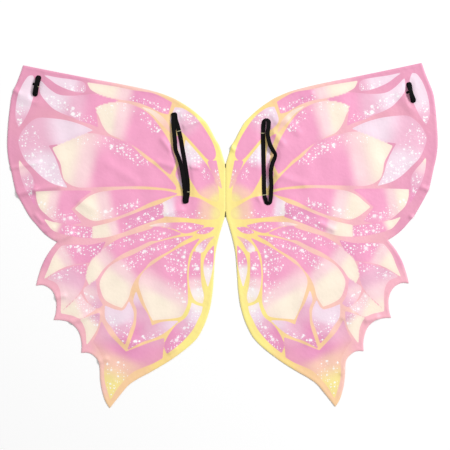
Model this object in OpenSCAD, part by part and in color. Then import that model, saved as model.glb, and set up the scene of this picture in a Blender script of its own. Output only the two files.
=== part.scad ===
// Soft fairy wings: two double-layer satin wings sewn together at the centre, with elastic
// shoulder loops and finger loops. The wings lie flat with the strap side up. X is the width,
// Y the height and Z comes out of the cloth towards the wearer. All sizes are millimetres.

/* [Wings] */
// Width of the open pair, side tip to side tip
span = 1000; // [820:10:1220]
// Height from the tail tips to the shoulder corners
wing_h = 798; // [660:2:970]
// Length of the stretch where the two wings are sewn together
seam_len = 115; // [90:1:140]
// Height of the middle of that stretch above the middle of the wings
seam_mid = 106.5; // [96:0.5:116]
// Thickness of one layer of satin
satin_t = 0.6; // [0.45:0.05:0.9]

/* [Stitching] */
// Distance from the finished edge to the closing stitch line
edge_inset = 2.5; // [1.5:0.1:4]
// Width of a line of sewing thread
thread_w = 0.8; // [0.5:0.05:1]
// Height of the closing stitch line between the layers
thread_t = 0.3; // [0.2:0.05:0.4]
// Length of the bar tack at each end of the centre seam
bar_len = 9; // [6:0.5:14]
// Thickness of the thread bars that hold the elastic
tack_t = 0.25; // [0.15:0.05:0.4]

/* [Elastic] */
// Width of the flat elastic
band_w = 10; // [8:0.5:12]
// Thickness of the flat elastic
band_t = 1.2; // [0.8:0.1:1.6]
// Length of a shoulder loop, laid flat
shoulder_len = 202; // [165:1:245]
// Length of a finger loop, laid flat
finger_len = 47; // [39:0.5:57]
// Height of the gap that a loop leaves over the cloth
loop_gap = 7; // [6:0.2:9]

/* [Placing] */
// Distance between the lower ends of the two shoulder loops
shoulder_spread = 192; // [160:1:230]
// Height of those lower ends above the middle of the wings
shoulder_y = 73; // [60:1:90]
// Distance from the shoulder corner to a finger loop, across
finger_dx = 33; // [27:0.5:40]
// Distance from the shoulder corner to a finger loop, down
finger_dy = 61; // [50:1:73]

/* [Hidden] */

// The width and height at which the outline's points are written
drawn_span = 1000;
drawn_h = 798;
scale_x = span / drawn_span;
scale_y = wing_h / drawn_h;

// Open strip between the two wings, which the centre seam thread fills
seam_gap = 1.2;
seam_clear = 0.2;
seam_top = seam_mid + seam_len / 2;
seam_bottom = seam_mid - seam_len / 2;

// Heights of the cloth's upper face and of the free elastic's underside at its ends
cloth_z = 2 * satin_t;
free_clear = 0.35;
free_z = cloth_z + band_t + tack_t + free_clear;
arch_h = cloth_z + loop_gap - free_z;
turn_clear = 0.4;
// Length that a fold shares with the sewn run
fold_grip = 2;

// Length of a loop in its own drawn coordinates
drawn_shoulder_len = 200;

// The left shoulder loop lies pulled a little straighter than the right one, so it lies longer
left_shoulder_len = 1.045 * shoulder_len;
drawn_finger_len = 47;

// Where the loops are tacked down, along the loop from its lower end
left_tacks = [23, 159];
right_tacks = [24, 166];
finger_tack = 23.5;

satin_pink = [0.93, 0.62, 0.76];
satin_rose = [0.88, 0.54, 0.70];
elastic_black = [0.07, 0.07, 0.08];
thread_pale = [0.82, 0.88, 0.78];
thread_dark = [0.25, 0.16, 0.18];

// Half of the outline, clockwise from the neck notch, with a sharp corner where runs meet.
// Top edge from the neck notch to the shoulder corner
top_run = [[13, 206], [23, 224], [40, 256], [51, 270], [74, 291], [98, 308], [123, 322],
           [160, 336], [223, 351], [301, 366], [346, 375], [391, 384], [425, 391], [463, 399]];
// Outer edge of the upper wing, down to the notch between the upper and lower wing
outer_run = [[463, 399], [473, 370], [488, 333], [493, 308], [497, 270], [500, 216], [497, 181],
             [490, 150], [481, 110], [471, 88], [449, 49], [433, 29], [415, 9], [397, -5],
             [384, -12]];
// Scallops of the lower wing, each ending in a point
scallop_runs = [
    [[384, -12], [401, -33], [416, -59], [426, -86], [433, -113]],
    [[433, -113], [417, -112], [401, -120], [391, -133], [386, -150], [386, -167], [388, -180],
     [392, -193]],
    [[392, -193], [374, -194], [355, -199], [339, -213], [331, -229], [327, -251], [328, -270]],
    [[328, -270], [312, -270], [299, -277], [288, -290], [285, -310], [284, -333], [280, -358],
     [272, -383], [262, -399]]];
// Inner edge, from the tail tip up to the lower end of the centre seam
inner_run = [[262, -399], [236, -366], [220, -347], [199, -332], [165, -313], [119, -284],
             [72, -245], [51, -211], [37, -171], [30, -129], [27, -87], [24, -45], [16, -4],
             [6, 30]];

// Routes of the elastic, in each loop's own frame: across, along from the lower end, and for
// a free run the share of the arch's height. Both runs meet at the two ends of the loop.
left_sewn_route = [[0, 0], [6, 16], [10, 43], [10.5, 62], [10, 91], [9, 118], [7, 157], [0, 200]];
left_free_route = [[-1, 0, 0], [-1, 25, 0.3], [-1, 52, 0.8], [-1.5, 78, 1], [-4, 101, 1],
                   [-7, 118, 1], [-5.5, 140, 0.8], [-4, 173, 0.4], [-1, 200, 0]];
right_sewn_route = [[0, 0], [-4, 12], [-9, 32], [-11, 70], [-12, 128], [-13, 155], [-10, 176],
                    [-4, 190], [0, 200]];
right_free_route = [[2, 0, 0], [5, 23, 0.3], [6, 46, 0.7], [5, 76, 1], [9, 96, 1], [16, 115, 1],
                    [10, 125, 1], [2, 143, 0.9], [-2, 164, 0.7], [0, 178, 0.4], [2, 200, 0]];
finger_sewn_route = [[0, 0], [0, 16], [0, 31], [0, 47]];
finger_free_route = [[0, 0, 0], [-0.5, 8, 0.7], [-1, 16, 1], [-1, 31, 1], [-0.5, 39, 0.7],
                     [0, 47, 0]];

// How far each loop leans from upright, and where its lower end is
left_lean = 7.95;
right_lean = 0.3;
left_foot = [-shoulder_spread / 2 + 11.5, shoulder_y + 3];
right_foot = [shoulder_spread / 2 + 11.5, shoulder_y - 2];
corner = [463 * scale_x, 399 * scale_y];
left_finger_foot = [-corner[0] + finger_dx - 6, corner[1] - finger_dy - 13];
right_finger_foot = [corner[0] - finger_dx + 14, corner[1] - finger_dy - 28];
left_finger_lean = -12;
right_finger_lean = 15;

// Points of a smooth curve through the given points, each stretch cut into equal steps
function spline_point(a, b, c, d, t) =
    0.5 * ((2 * b) + (c - a) * t + (2 * a - 5 * b + 4 * c - d) * t * t
           + (3 * b - a - 3 * c + d) * t * t * t);
function smooth_run(points, steps) =
    let (n = len(points))
    [for (i = [0:n - 2], s = [0:steps - 1])
        spline_point(points[max(i - 1, 0)], points[i], points[i + 1], points[min(i + 2, n - 1)],
                     s / steps)];
function smooth_route(points, steps) = concat(smooth_run(points, steps), [points[len(points) - 1]]);

function unit(v) = v / norm(v);
function right_of(v) = [v[1], -v[0]];

function segment_gap(p, a, b) =
    let (along = b - a, share = max(0, min(1, (p - a) * along / (along * along))))
    norm(p - a - share * along);
function outline_gap(p, path) =
    min([for (i = [0:len(path) - 1]) segment_gap(p, path[i], path[(i + 1) % len(path)])]);

// The same outline moved inwards by a distance, without the points that would cross at a tip
function inset(path, distance) =
    let (n = len(path))
    [for (i = [0:n - 1])
        let (before = right_of(unit(path[i] - path[(i + n - 1) % n])),
             after = right_of(unit(path[(i + 1) % n] - path[i])),
             mitre = unit(before + after),
             moved = path[i] + distance * mitre / max(0.3, mitre * before))
        if (outline_gap(moved, path) > 0.97 * distance) moved];

edge_steps = 3;
notch_run = concat([[seam_gap / 2, seam_top / scale_y]], top_run);
scallops = [for (run = scallop_runs, point = smooth_run(run, edge_steps)) point];
drawn_outline = concat(smooth_run(notch_run, edge_steps), smooth_run(outer_run, edge_steps), scallops,
                       smooth_run(inner_run, edge_steps), [inner_run[len(inner_run) - 1]],
                       [[seam_gap / 2, seam_bottom / scale_y]]);
wing_outline = [for (point = drawn_outline) [max(point[0] * scale_x, seam_gap / 2), point[1] * scale_y]];

module satin_layer(level) {
    translate([0, 0, level]) linear_extrude(satin_t) polygon(wing_outline);
}

module edge_line() {
    translate([0, 0, satin_t]) linear_extrude(thread_t) difference() {
        polygon(inset(wing_outline, edge_inset));
        polygon(inset(wing_outline, edge_inset + thread_w));
    }
}

// The layer that faces away from the wearer, lowest when the wings lie strap side up
module outer_panel() {
    color(satin_rose) satin_layer(0);
}

// The layer against the wearer, with the closing stitch line pressed into its underside
module inner_panel() {
    color(satin_pink) difference() {
        satin_layer(satin_t);
        edge_line();
    }
}

module edge_stitching() {
    color(thread_pale) edge_line();
}

// A line of thread standing in the strip between the wings
module seam_line(from, to) {
    translate([-seam_gap / 2 + seam_clear, from, 0])
        cube([seam_gap - 2 * seam_clear, to - from, cloth_z]);
}

module centre_seam_thread() {
    color(thread_pale) seam_line(seam_bottom + bar_len, seam_top - bar_len);
}

module top_notch_bar_tack() {
    color(thread_dark) seam_line(seam_top - bar_len, seam_top);
}

module bottom_notch_bar_tack() {
    color(thread_dark) seam_line(seam_bottom, seam_bottom + bar_len);
}

// A flat strip of elastic swept along a route of points with a level each, cut square at its ends
module band(route) {
    n = len(route);
    rings = [for (i = [0:n - 1])
        let (here = route[i],
             ahead = route[min(i + 1, n - 1)] - route[max(i - 1, 0)],
             square_end = i == 0 || i == n - 1,
             across = (square_end ? [1, 0] : right_of(unit([ahead[0], ahead[1]]))) * band_w / 2)
        each [[here[0] + across[0], here[1] + across[1], here[2]],
              [here[0] - across[0], here[1] - across[1], here[2]],
              [here[0] - across[0], here[1] - across[1], here[2] + band_t],
              [here[0] + across[0], here[1] + across[1], here[2] + band_t]]];
    sides = [for (i = [0:n - 2], k = [0:3])
        let (a = 4 * i + k, b = 4 * i + (k + 1) % 4)
        each [[a, b + 4, b], [a, a + 4, b + 4]]];
    last = 4 * (n - 1);
    polyhedron(rings, concat(sides, [[0, 1, 2, 3], [last + 3, last + 2, last + 1, last]]));
}

route_steps = 3;

// The lower run of a loop, flat on the cloth, with the turned-up fold at each end
module sewn_run(route, length, drawn_length) {
    stretched = [for (p = smooth_route(route, route_steps))
        [p[0], p[1] * length / drawn_length, cloth_z]];
    color(elastic_black) {
        band(stretched);
        fold();
        translate([0, length, 0]) mirror([0, 1, 0]) fold();
    }
}

// The end of a loop, where the elastic turns up and back over itself
module fold() {
    translate([-band_w / 2, -band_t, cloth_z]) {
        cube([band_w, band_t, free_z + band_t - cloth_z]);
        cube([band_w, band_t + fold_grip, band_t]);
    }
}

// The upper run of a loop, which starts just inside the two folds and arches over the cloth
module free_run(route, length, drawn_length) {
    shrink = (length - 2 * turn_clear) / drawn_length;
    color(elastic_black)
        band([for (p = smooth_route(route, route_steps))
            [p[0], turn_clear + p[1] * shrink, free_z + p[2] * arch_h]]);
}

// Place along a loop's route at a given distance from its lower end
function route_across(route, along) =
    let (pairs = [for (p = smooth_route(route, route_steps)) [p[1], p[0]]])
    lookup(along, pairs);

// A thread bar over the elastic, which reaches the cloth on both sides of it
module tack(route, along, length, drawn_length) {
    reach = band_w / 2 + thread_w + 0.6;
    translate([route_across(route, along), along * length / drawn_length, cloth_z])
        color(thread_pale) difference() {
            translate([-reach, -thread_w / 2, 0]) cube([2 * reach, thread_w, band_t + tack_t]);
            translate([-reach + thread_w, -thread_w, -1])
                cube([2 * (reach - thread_w), 2 * thread_w, band_t + 1]);
        }
}

module on_left_shoulder() {
    translate([left_foot[0], left_foot[1], 0]) rotate([0, 0, left_lean]) children();
}

module on_right_shoulder() {
    translate([right_foot[0], right_foot[1], 0]) rotate([0, 0, right_lean]) children();
}

module on_left_finger() {
    translate([left_finger_foot[0], left_finger_foot[1], 0]) rotate([0, 0, left_finger_lean]) children();
}

module on_right_finger() {
    translate([right_finger_foot[0], right_finger_foot[1], 0]) rotate([0, 0, right_finger_lean])
        children();
}

module left_outer_panel() { mirror([1, 0, 0]) outer_panel(); }
module left_inner_panel() { mirror([1, 0, 0]) inner_panel(); }
module left_edge_stitching() { mirror([1, 0, 0]) edge_stitching(); }
module right_outer_panel() { outer_panel(); }
module right_inner_panel() { inner_panel(); }
module right_edge_stitching() { edge_stitching(); }

module left_shoulder_sewn_run() {
    on_left_shoulder() sewn_run(left_sewn_route, left_shoulder_len, drawn_shoulder_len);
}
module left_shoulder_free_run() {
    on_left_shoulder() free_run(left_free_route, left_shoulder_len, drawn_shoulder_len);
}
module left_shoulder_top_tack() {
    on_left_shoulder() tack(left_sewn_route, left_tacks[1], left_shoulder_len, drawn_shoulder_len);
}
module left_shoulder_bottom_tack() {
    on_left_shoulder() tack(left_sewn_route, left_tacks[0], left_shoulder_len, drawn_shoulder_len);
}
module right_shoulder_sewn_run() {
    on_right_shoulder() sewn_run(right_sewn_route, shoulder_len, drawn_shoulder_len);
}
module right_shoulder_free_run() {
    on_right_shoulder() free_run(right_free_route, shoulder_len, drawn_shoulder_len);
}
module right_shoulder_top_tack() {
    on_right_shoulder() tack(right_sewn_route, right_tacks[1], shoulder_len, drawn_shoulder_len);
}
module right_shoulder_bottom_tack() {
    on_right_shoulder() tack(right_sewn_route, right_tacks[0], shoulder_len, drawn_shoulder_len);
}

module left_finger_sewn_run() {
    on_left_finger() sewn_run(finger_sewn_route, finger_len, drawn_finger_len);
}
module left_finger_free_run() {
    on_left_finger() free_run(finger_free_route, finger_len, drawn_finger_len);
}
module left_finger_tack() {
    on_left_finger() tack(finger_sewn_route, finger_tack, finger_len, drawn_finger_len);
}
module right_finger_sewn_run() {
    on_right_finger() sewn_run(finger_sewn_route, finger_len, drawn_finger_len);
}
module right_finger_free_run() {
    on_right_finger() free_run(finger_free_route, finger_len, drawn_finger_len);
}
module right_finger_tack() {
    on_right_finger() tack(finger_sewn_route, finger_tack, finger_len, drawn_finger_len);
}

left_outer_panel();
left_inner_panel();
left_edge_stitching();
right_outer_panel();
right_inner_panel();
right_edge_stitching();
centre_seam_thread();
top_notch_bar_tack();
bottom_notch_bar_tack();
left_shoulder_sewn_run();
left_shoulder_free_run();
left_shoulder_top_tack();
left_shoulder_bottom_tack();
right_shoulder_sewn_run();
right_shoulder_free_run();
right_shoulder_top_tack();
right_shoulder_bottom_tack();
left_finger_sewn_run();
left_finger_free_run();
left_finger_tack();
right_finger_sewn_run();
right_finger_free_run();
right_finger_tack();
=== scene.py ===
"""Soft fairy wings: printed satin, closed by sewing, with elastic loops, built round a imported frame."""

import math

import bpy
import numpy as np
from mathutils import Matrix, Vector, geometry


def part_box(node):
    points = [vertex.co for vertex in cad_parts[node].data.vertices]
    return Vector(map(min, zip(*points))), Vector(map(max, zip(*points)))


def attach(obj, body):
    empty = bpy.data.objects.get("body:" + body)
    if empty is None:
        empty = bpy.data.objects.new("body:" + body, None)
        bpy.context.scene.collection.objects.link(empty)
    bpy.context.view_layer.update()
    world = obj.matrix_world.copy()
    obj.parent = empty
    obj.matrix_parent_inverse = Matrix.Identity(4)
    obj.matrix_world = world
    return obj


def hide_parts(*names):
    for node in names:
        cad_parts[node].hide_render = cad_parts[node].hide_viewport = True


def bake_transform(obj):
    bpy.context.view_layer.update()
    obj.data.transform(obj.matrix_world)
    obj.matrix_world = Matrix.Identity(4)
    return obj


bl_info = {
    "name": "Soft Fairy Wings",
    "version": (1, 0, 0),
    "blender": (4, 5, 0),
    "location": "3D View > Sidebar > Fairy Wings",
    "description": "Makes a pair of printed satin fairy wings with elastic loops",
    "category": "Object",
}

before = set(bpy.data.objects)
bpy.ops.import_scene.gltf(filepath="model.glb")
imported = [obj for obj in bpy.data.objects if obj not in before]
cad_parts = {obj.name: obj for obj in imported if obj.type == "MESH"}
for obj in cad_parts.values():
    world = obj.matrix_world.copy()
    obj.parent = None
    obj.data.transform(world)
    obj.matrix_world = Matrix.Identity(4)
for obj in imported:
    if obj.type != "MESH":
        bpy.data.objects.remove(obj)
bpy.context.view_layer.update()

# All shapes are worked out in millimetres and written to meshes in metres.
MM = 0.001


def node_box(name):
    """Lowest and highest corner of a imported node, in millimetres."""
    low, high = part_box(name)
    return np.array(low) / MM, np.array(high) / MM


WING_LOW, WING_HIGH = node_box("right_inner_panel")
SEAM_LOW, SEAM_HIGH = node_box("centre_seam_thread")
TOP_TACK_LOW, TOP_TACK_HIGH = node_box("top_notch_bar_tack")
BOTTOM_TACK_LOW, BOTTOM_TACK_HIGH = node_box("bottom_notch_bar_tack")

# The outline and the print are drawn for a wing 500 mm wide and 798 mm high.
WIDEN = WING_HIGH[0] / 500.0
STRETCH = (WING_HIGH[1] - WING_LOW[1]) / 798.0
SEAM_EDGE = WING_LOW[0]
SEAM_TOP = TOP_TACK_HIGH[1]
SEAM_BOTTOM = BOTTOM_TACK_LOW[1]
LAYER = WING_HIGH[2] / 2.0
CLOTH_TOP = WING_HIGH[2]

# Half of the outline, clockwise from the neck notch, as runs between sharp corners.
TOP_EDGE = [(13, 206), (23, 224), (40, 256), (51, 270), (74, 291), (98, 308), (123, 322),
            (160, 336), (223, 351), (301, 366), (346, 375), (391, 384), (425, 391), (463, 399)]
OUTER_EDGE = [(463, 399), (473, 370), (488, 333), (493, 308), (497, 270), (500, 216),
              (497, 181), (490, 150), (481, 110), (471, 88), (449, 49), (433, 29), (415, 9),
              (397, -5), (384, -12)]
SCALLOPS = [
    [(384, -12), (401, -33), (416, -59), (426, -86), (433, -113)],
    [(433, -113), (417, -112), (401, -120), (391, -133), (386, -150), (386, -167), (388, -180),
     (392, -193)],
    [(392, -193), (374, -194), (355, -199), (339, -213), (331, -229), (327, -251), (328, -270)],
    [(328, -270), (312, -270), (299, -277), (288, -290), (285, -310), (284, -333), (280, -358),
     (272, -383), (262, -399)],
]
INNER_EDGE = [(262, -399), (236, -366), (220, -347), (199, -332), (165, -313), (119, -284),
              (72, -245), (51, -211), (37, -171), (30, -129), (27, -87), (24, -45), (16, -4),
              (6, 30)]

CREAM, BLUSH, PINK, ROSE, LILAC, MAUVE, PEACH, LEMON, WHITE = range(9)
PALETTE = ("cream", "blush", "pink", "rose", "lilac", "mauve", "peach", "lemon", "petal_white")

# Printed petals: name, outline as runs between sharp corners, tints in order along a line through
# the petal, and rows of sparkles as start, end, half width and how thickly they stand.
PETALS = [
    ("corner_sliver",
     [[(441, 374), (451, 372), (464, 353), (473, 331), (478, 311), (480, 291), (479, 272),
      (473, 256)], [(473, 256), (460, 275), (448, 300), (440, 330), (436, 357), (441, 374)]],
     [(452, 362, LILAC), (472, 315, LILAC), (476, 270, MAUVE)],
     [(471, 302, 472, 262, 9, 0.95)]),
    ("top_leaf",
     [[(413, 375), (385, 369), (350, 364), (324, 358), (318, 345), (322, 336), (339, 337),
      (362, 344), (385, 355), (401, 367), (413, 375)]],
     [(405, 368, LILAC), (352, 352, LILAC), (326, 345, MAUVE)],
     [(360, 345, 325, 340, 9, 0.9)]),
    ("top_band",
     [[(313, 357), (250, 347), (207, 338), (162, 330), (123, 310)], [(123, 310), (131, 284)],
      [(131, 284), (149, 289), (178, 304), (207, 314), (239, 319), (276, 328), (295, 336),
      (306, 343), (313, 357)]],
     [(300, 348, CREAM), (262, 338, CREAM), (228, 329, BLUSH), (200, 321, ROSE),
      (135, 298, PINK)],
     [(209, 315, 130, 290, 9, 0.75)]),
    ("shoulder_leaf",
     [[(422, 362), (402, 342), (380, 329), (350, 326), (322, 328), (295, 330), (269, 322),
      (243, 315)], [(243, 315), (271, 310), (295, 301)], [(295, 301), (293, 280), (290, 255)],
      [(290, 255), (306, 262), (329, 269), (350, 279), (373, 288), (393, 299), (410, 316),
      (422, 333), (424, 348), (422, 362)]],
     [(418, 350, LILAC), (385, 322, LILAC), (340, 305, MAUVE), (300, 300, PINK),
      (250, 316, PINK)],
     [(413, 324, 357, 298, 9, 0.7), (357, 296, 300, 264, 9, 0.8)]),
    ("upper_petal",
     [[(295, 299), (273, 306), (250, 311), (227, 309), (207, 303), (185, 292), (166, 275),
      (149, 252), (131, 223), (122, 200), (115, 170), (126, 144)], [(126, 144), (141, 156),
      (157, 173), (174, 186), (190, 199), (210, 213), (240, 229), (264, 240), (278, 259),
      (286, 279), (295, 299)]],
     [(290, 275, CREAM), (262, 272, CREAM), (238, 268, BLUSH), (205, 258, PINK),
      (120, 165, PINK)],
     [(282, 294, 208, 300, 10, 0.4), (185, 279, 155, 252, 10, 0.75)]),
    ("shoulder_strip",
     [[(187, 299), (164, 291), (146, 278), (133, 263), (124, 240)], [(124, 240), (133, 249),
      (149, 266), (166, 284), (187, 299)]],
     [(187, 299, CREAM), (124, 240, PEACH)],
     []),
    ("neck_petal",
     [[(115, 298), (97, 295), (74, 279), (59, 262), (43, 238), (31, 216), (24, 195), (25, 182),
      (34, 175), (45, 182)], [(45, 182), (59, 198), (71, 212), (87, 230), (100, 243), (112, 250),
      (125, 268), (115, 298)]],
     [(112, 290, LILAC), (85, 262, MAUVE), (60, 235, PINK), (30, 188, PINK)],
     [(115, 290, 75, 268, 9, 0.85)]),
    ("strap_leaf",
     [[(120, 235), (113, 218), (107, 200), (104, 183), (105, 168), (112, 150), (113, 140)],
      [(113, 140), (105, 124), (98, 110)], [(98, 110), (96, 140), (97, 175), (100, 205),
      (107, 228), (120, 235)]],
     [(118, 232, PINK), (104, 190, LILAC), (105, 150, PINK), (100, 115, LILAC)],
     [(104, 210, 102, 170, 6, 0.6)]),
    ("notch_petal",
     [[(41, 172), (31, 173), (22, 174)], [(22, 174), (18, 153), (13, 128), (9, 110)], [(9, 110),
      (24, 128), (34, 155), (41, 172)]],
     [(30, 165, PINK), (12, 118, PEACH)],
     [(21, 163, 15, 130, 4, 0.7)]),
    ("seam_petal",
     [[(91, 222), (76, 204), (59, 184), (43, 163), (29, 138), (18, 110), (16, 92), (18, 81),
      (31, 82), (43, 88), (59, 97), (71, 116), (82, 137), (91, 177), (93, 205), (91, 222)]],
     [(88, 215, WHITE), (70, 185, LILAC), (58, 155, PINK), (45, 125, PINK), (34, 102, PEACH),
      (22, 86, LEMON)],
     [(88, 208, 62, 170, 9, 0.85), (60, 164, 42, 134, 7, 0.6)]),
    ("under_arm_band",
     [[(142, 77), (126, 85), (111, 92), (79, 90), (59, 85), (31, 69), (18, 62), (13, 53),
      (17, 42), (31, 39), (71, 41), (111, 45), (140, 47)], [(140, 47), (142, 77)]],
     [(140, 60, WHITE), (124, 62, LILAC), (108, 64, PINK), (75, 65, PINK), (45, 60, PEACH),
      (18, 54, LEMON)],
     [(132, 52, 46, 44, 9, 0.55)]),
    ("lower_band",
     [[(142, 76), (173, 65), (193, 57), (212, 49), (229, 43), (262, 31), (301, 22)], [(301, 22),
      (303, -3)], [(303, -3), (282, -2), (262, 1), (229, 11), (200, 23), (173, 33), (141, 44)],
      [(141, 44), (142, 76)]],
     [(300, 8, CREAM), (272, 14, CREAM), (252, 20, BLUSH), (235, 24, PINK), (195, 42, ROSE),
      (145, 62, ROSE)],
     [(228, 20, 180, 38, 10, 0.8), (180, 40, 143, 64, 11, 0.85)]),
    ("lower_petal",
     [[(342, 65), (329, 76), (313, 90), (295, 99), (273, 104), (227, 108), (171, 107), (135, 104),
      (111, 98)], [(111, 98), (123, 94), (149, 87), (171, 79), (195, 67), (218, 57), (250, 45),
      (273, 41), (295, 37), (313, 43), (329, 54), (342, 65)]],
     [(342, 65, CREAM), (305, 72, CREAM), (275, 78, BLUSH), (245, 84, PINK), (180, 94, PINK),
      (120, 99, PINK)],
     [(292, 49, 245, 58, 10, 0.6), (245, 60, 195, 76, 9, 0.6)]),
    ("great_petal",
     [[(394, 206), (362, 220), (339, 230), (317, 238), (295, 238), (278, 234), (249, 227),
      (216, 212), (185, 182), (160, 163), (135, 140), (115, 116), (115, 108)], [(115, 108),
      (135, 112), (187, 117), (238, 117), (285, 116), (329, 115), (350, 120)], [(350, 120),
      (364, 130), (371, 146), (375, 169), (385, 188), (394, 206)]],
     [(392, 180, CREAM), (362, 174, CREAM), (318, 163, BLUSH), (285, 156, PINK),
      (115, 115, PINK)],
     [(334, 227, 260, 220, 11, 0.5), (260, 218, 183, 172, 12, 0.8)]),
    ("side_leaf",
     [[(303, 247), (329, 259), (362, 269), (395, 274), (429, 275), (450, 262), (464, 246),
      (473, 224), (468, 202), (457, 179), (439, 160), (417, 139), (393, 124), (362, 115)],
      [(362, 115), (375, 139), (382, 164), (393, 190), (406, 213)], [(406, 213), (373, 218),
      (350, 228), (329, 237), (303, 247)]],
     [(305, 248, LILAC), (370, 252, LILAC), (425, 240, MAUVE), (455, 215, MAUVE),
      (435, 165, LILAC), (375, 120, LILAC)],
     [(452, 228, 432, 165, 22, 0.55), (430, 170, 395, 130, 24, 0.7)]),
    ("side_sliver",
     [[(472, 177), (462, 164), (451, 152), (442, 139), (438, 123), (439, 102), (436, 74)],
      [(436, 74), (448, 95), (458, 114), (466, 135), (471, 158), (472, 177)]],
     [(472, 175, CREAM), (464, 160, BLUSH), (452, 132, MAUVE), (437, 80, ROSE)],
     [(450, 132, 447, 100, 8, 0.9)]),
    ("side_petal",
     [[(432, 104), (385, 106), (329, 106), (306, 105)], [(306, 105), (327, 89), (345, 71),
      (352, 64), (341, 50), (329, 33)], [(329, 33), (345, 29), (362, 31), (378, 34), (393, 39),
      (410, 53), (424, 68), (431, 88), (432, 104)]],
     [(435, 85, CREAM), (415, 84, CREAM), (395, 80, BLUSH), (372, 76, PINK), (310, 102, PINK)],
     [(417, 72, 380, 48, 11, 0.8), (380, 46, 329, 35, 10, 0.8)]),
    ("notch_leaf",
     [[(413, 40), (393, 33), (362, 27), (331, 23), (303, 20)], [(303, 20), (303, -3)], [(303, -3),
      (329, -1), (357, 4), (380, 10), (396, 18), (413, 40)]],
     [(412, 38, CREAM), (388, 28, CREAM), (370, 20, PINK), (305, 5, PINK)],
     [(358, 15, 306, 3, 11, 0.9)]),
    ("hind_top",
     [[(373, -22), (357, -20), (339, -20), (306, -20), (273, -13)], [(273, -13), (284, -34),
      (303, -50), (310, -59), (329, -61), (362, -68), (388, -80), (413, -96)], [(413, -96),
      (403, -73), (393, -48), (380, -29), (373, -22)]],
     [(405, -85, CREAM), (385, -62, CREAM), (365, -48, BLUSH), (345, -38, PINK),
      (280, -20, ROSE)],
     [(366, -25, 301, -34, 14, 0.8), (301, -34, 276, -18, 8, 0.7)]),
    ("hind_second",
     [[(406, -98), (385, -84), (350, -71), (317, -64)], [(317, -64), (317, -82), (322, -108),
      (329, -124), (344, -143), (362, -159), (375, -173)], [(375, -173), (374, -140), (378, -119),
      (388, -105), (406, -98)]],
     [(318, -68, PINK), (345, -100, MAUVE), (360, -135, BLUSH), (374, -170, CREAM)],
     [(385, -90, 348, -80, 13, 0.7), (348, -80, 320, -74, 11, 0.7)]),
    ("hind_third",
     [[(375, -177), (352, -157), (329, -134)], [(329, -134), (317, -153), (295, -169)],
      [(295, -169), (313, -180), (329, -189), (350, -182), (375, -177)]],
     [(372, -177, CREAM), (345, -168, CREAM), (325, -158, BLUSH), (298, -170, BLUSH)],
     [(338, -145, 320, -168, 11, 0.75), (320, -168, 300, -173, 9, 0.7)]),
    ("hind_fourth",
     [[(329, -194), (308, -185), (286, -178)], [(286, -178), (287, -197), (295, -220),
      (315, -250)], [(315, -250), (317, -220), (324, -201), (329, -194)]],
     [(315, -245, CREAM), (310, -205, CREAM), (292, -186, MAUVE)],
     [(308, -191, 290, -198, 9, 0.8)]),
    ("tail",
     [[(281, -199), (266, -225), (245, -248), (225, -269)], [(225, -269), (202, -260),
      (171, -248), (140, -238)], [(140, -238), (142, -260), (144, -283)], [(144, -283),
      (165, -295), (189, -305), (211, -316), (234, -339), (248, -357), (260, -378)], [(260, -378),
      (267, -357), (272, -338), (274, -315), (274, -292), (285, -266), (300, -245)], [(300, -245),
      (289, -224), (281, -199)]],
     [(220, -235, MAUVE), (222, -268, ROSE), (235, -298, PEACH), (255, -345, LEMON),
      (262, -385, LEMON)],
     [(268, -305, 236, -303, 14, 0.5), (260, -352, 228, -318, 13, 0.55)]),
    ("pink_sliver",
     [[(295, -103), (310, -113), (322, -124), (315, -145), (303, -159), (290, -166), (279, -159)],
      [(279, -159), (290, -138), (295, -103)]],
     [(298, -105, MAUVE), (312, -130, BLUSH), (285, -162, MAUVE)],
     [(315, -132, 292, -158, 6, 0.5)]),
    ("long_petal",
     [[(310, -110), (316, -92), (310, -69), (295, -47), (273, -27), (239, -6), (207, 4),
      (171, 15), (161, 21), (149, 20), (126, 15), (102, 5)], [(102, 5), (129, -2), (153, -9),
      (171, -11), (196, -23), (229, -38), (255, -55), (278, -76), (295, -100), (310, -110)]],
     [(312, -105, CREAM), (292, -72, CREAM), (270, -55, BLUSH), (245, -35, PINK), (110, 5, PINK)],
     [(273, -24, 236, -10, 10, 0.7), (236, -10, 134, 6, 10, 0.75)]),
    ("heart_petal",
     [[(234, -165), (255, -157), (273, -145), (282, -124), (284, -108), (278, -92), (262, -71),
      (236, -55), (207, -43), (171, -23), (153, -15), (113, -5), (75, 0)], [(75, 0), (102, -14),
      (126, -32), (166, -55), (185, -76), (202, -96), (213, -118), (220, -143), (234, -165)]],
     [(255, -150, CREAM), (245, -105, CREAM), (228, -84, BLUSH), (205, -66, PINK),
      (85, -5, PINK)],
     [(222, -66, 171, -33, 11, 0.75), (171, -33, 97, -10, 10, 0.75)]),
    ("drop_petal",
     [[(164, -195), (178, -165), (189, -134), (195, -111), (191, -94), (178, -77), (159, -63),
      (138, -48), (103, -27), (61, -7)], [(61, -7), (75, -27), (85, -49), (89, -86), (88, -128),
      (88, -156), (96, -177), (104, -187), (126, -191), (151, -193), (164, -195)]],
     [(165, -190, CREAM), (150, -150, CREAM), (138, -128, BLUSH), (118, -94, PINK),
      (65, -15, PINK)],
     [(112, -35, 106, -103, 21, 0.75), (106, -103, 96, -145, 13, 0.8)]),
    ("heart",
     [[(272, -162), (252, -170), (234, -174)], [(234, -174), (225, -167), (218, -153)],
      [(218, -153), (209, -174), (209, -197), (216, -216), (227, -250)], [(227, -250),
      (243, -232), (257, -211), (271, -190), (272, -162)]],
     [(245, -170, LILAC), (242, -195, LILAC), (236, -215, MAUVE), (228, -245, ROSE)],
     [(268, -194, 228, -240, 10, 0.9), (215, -200, 224, -240, 7, 0.8)]),
    ("arrow_head",
     [[(202, -130), (207, -151), (200, -169), (200, -188), (202, -209), (211, -237), (220, -262)],
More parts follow.
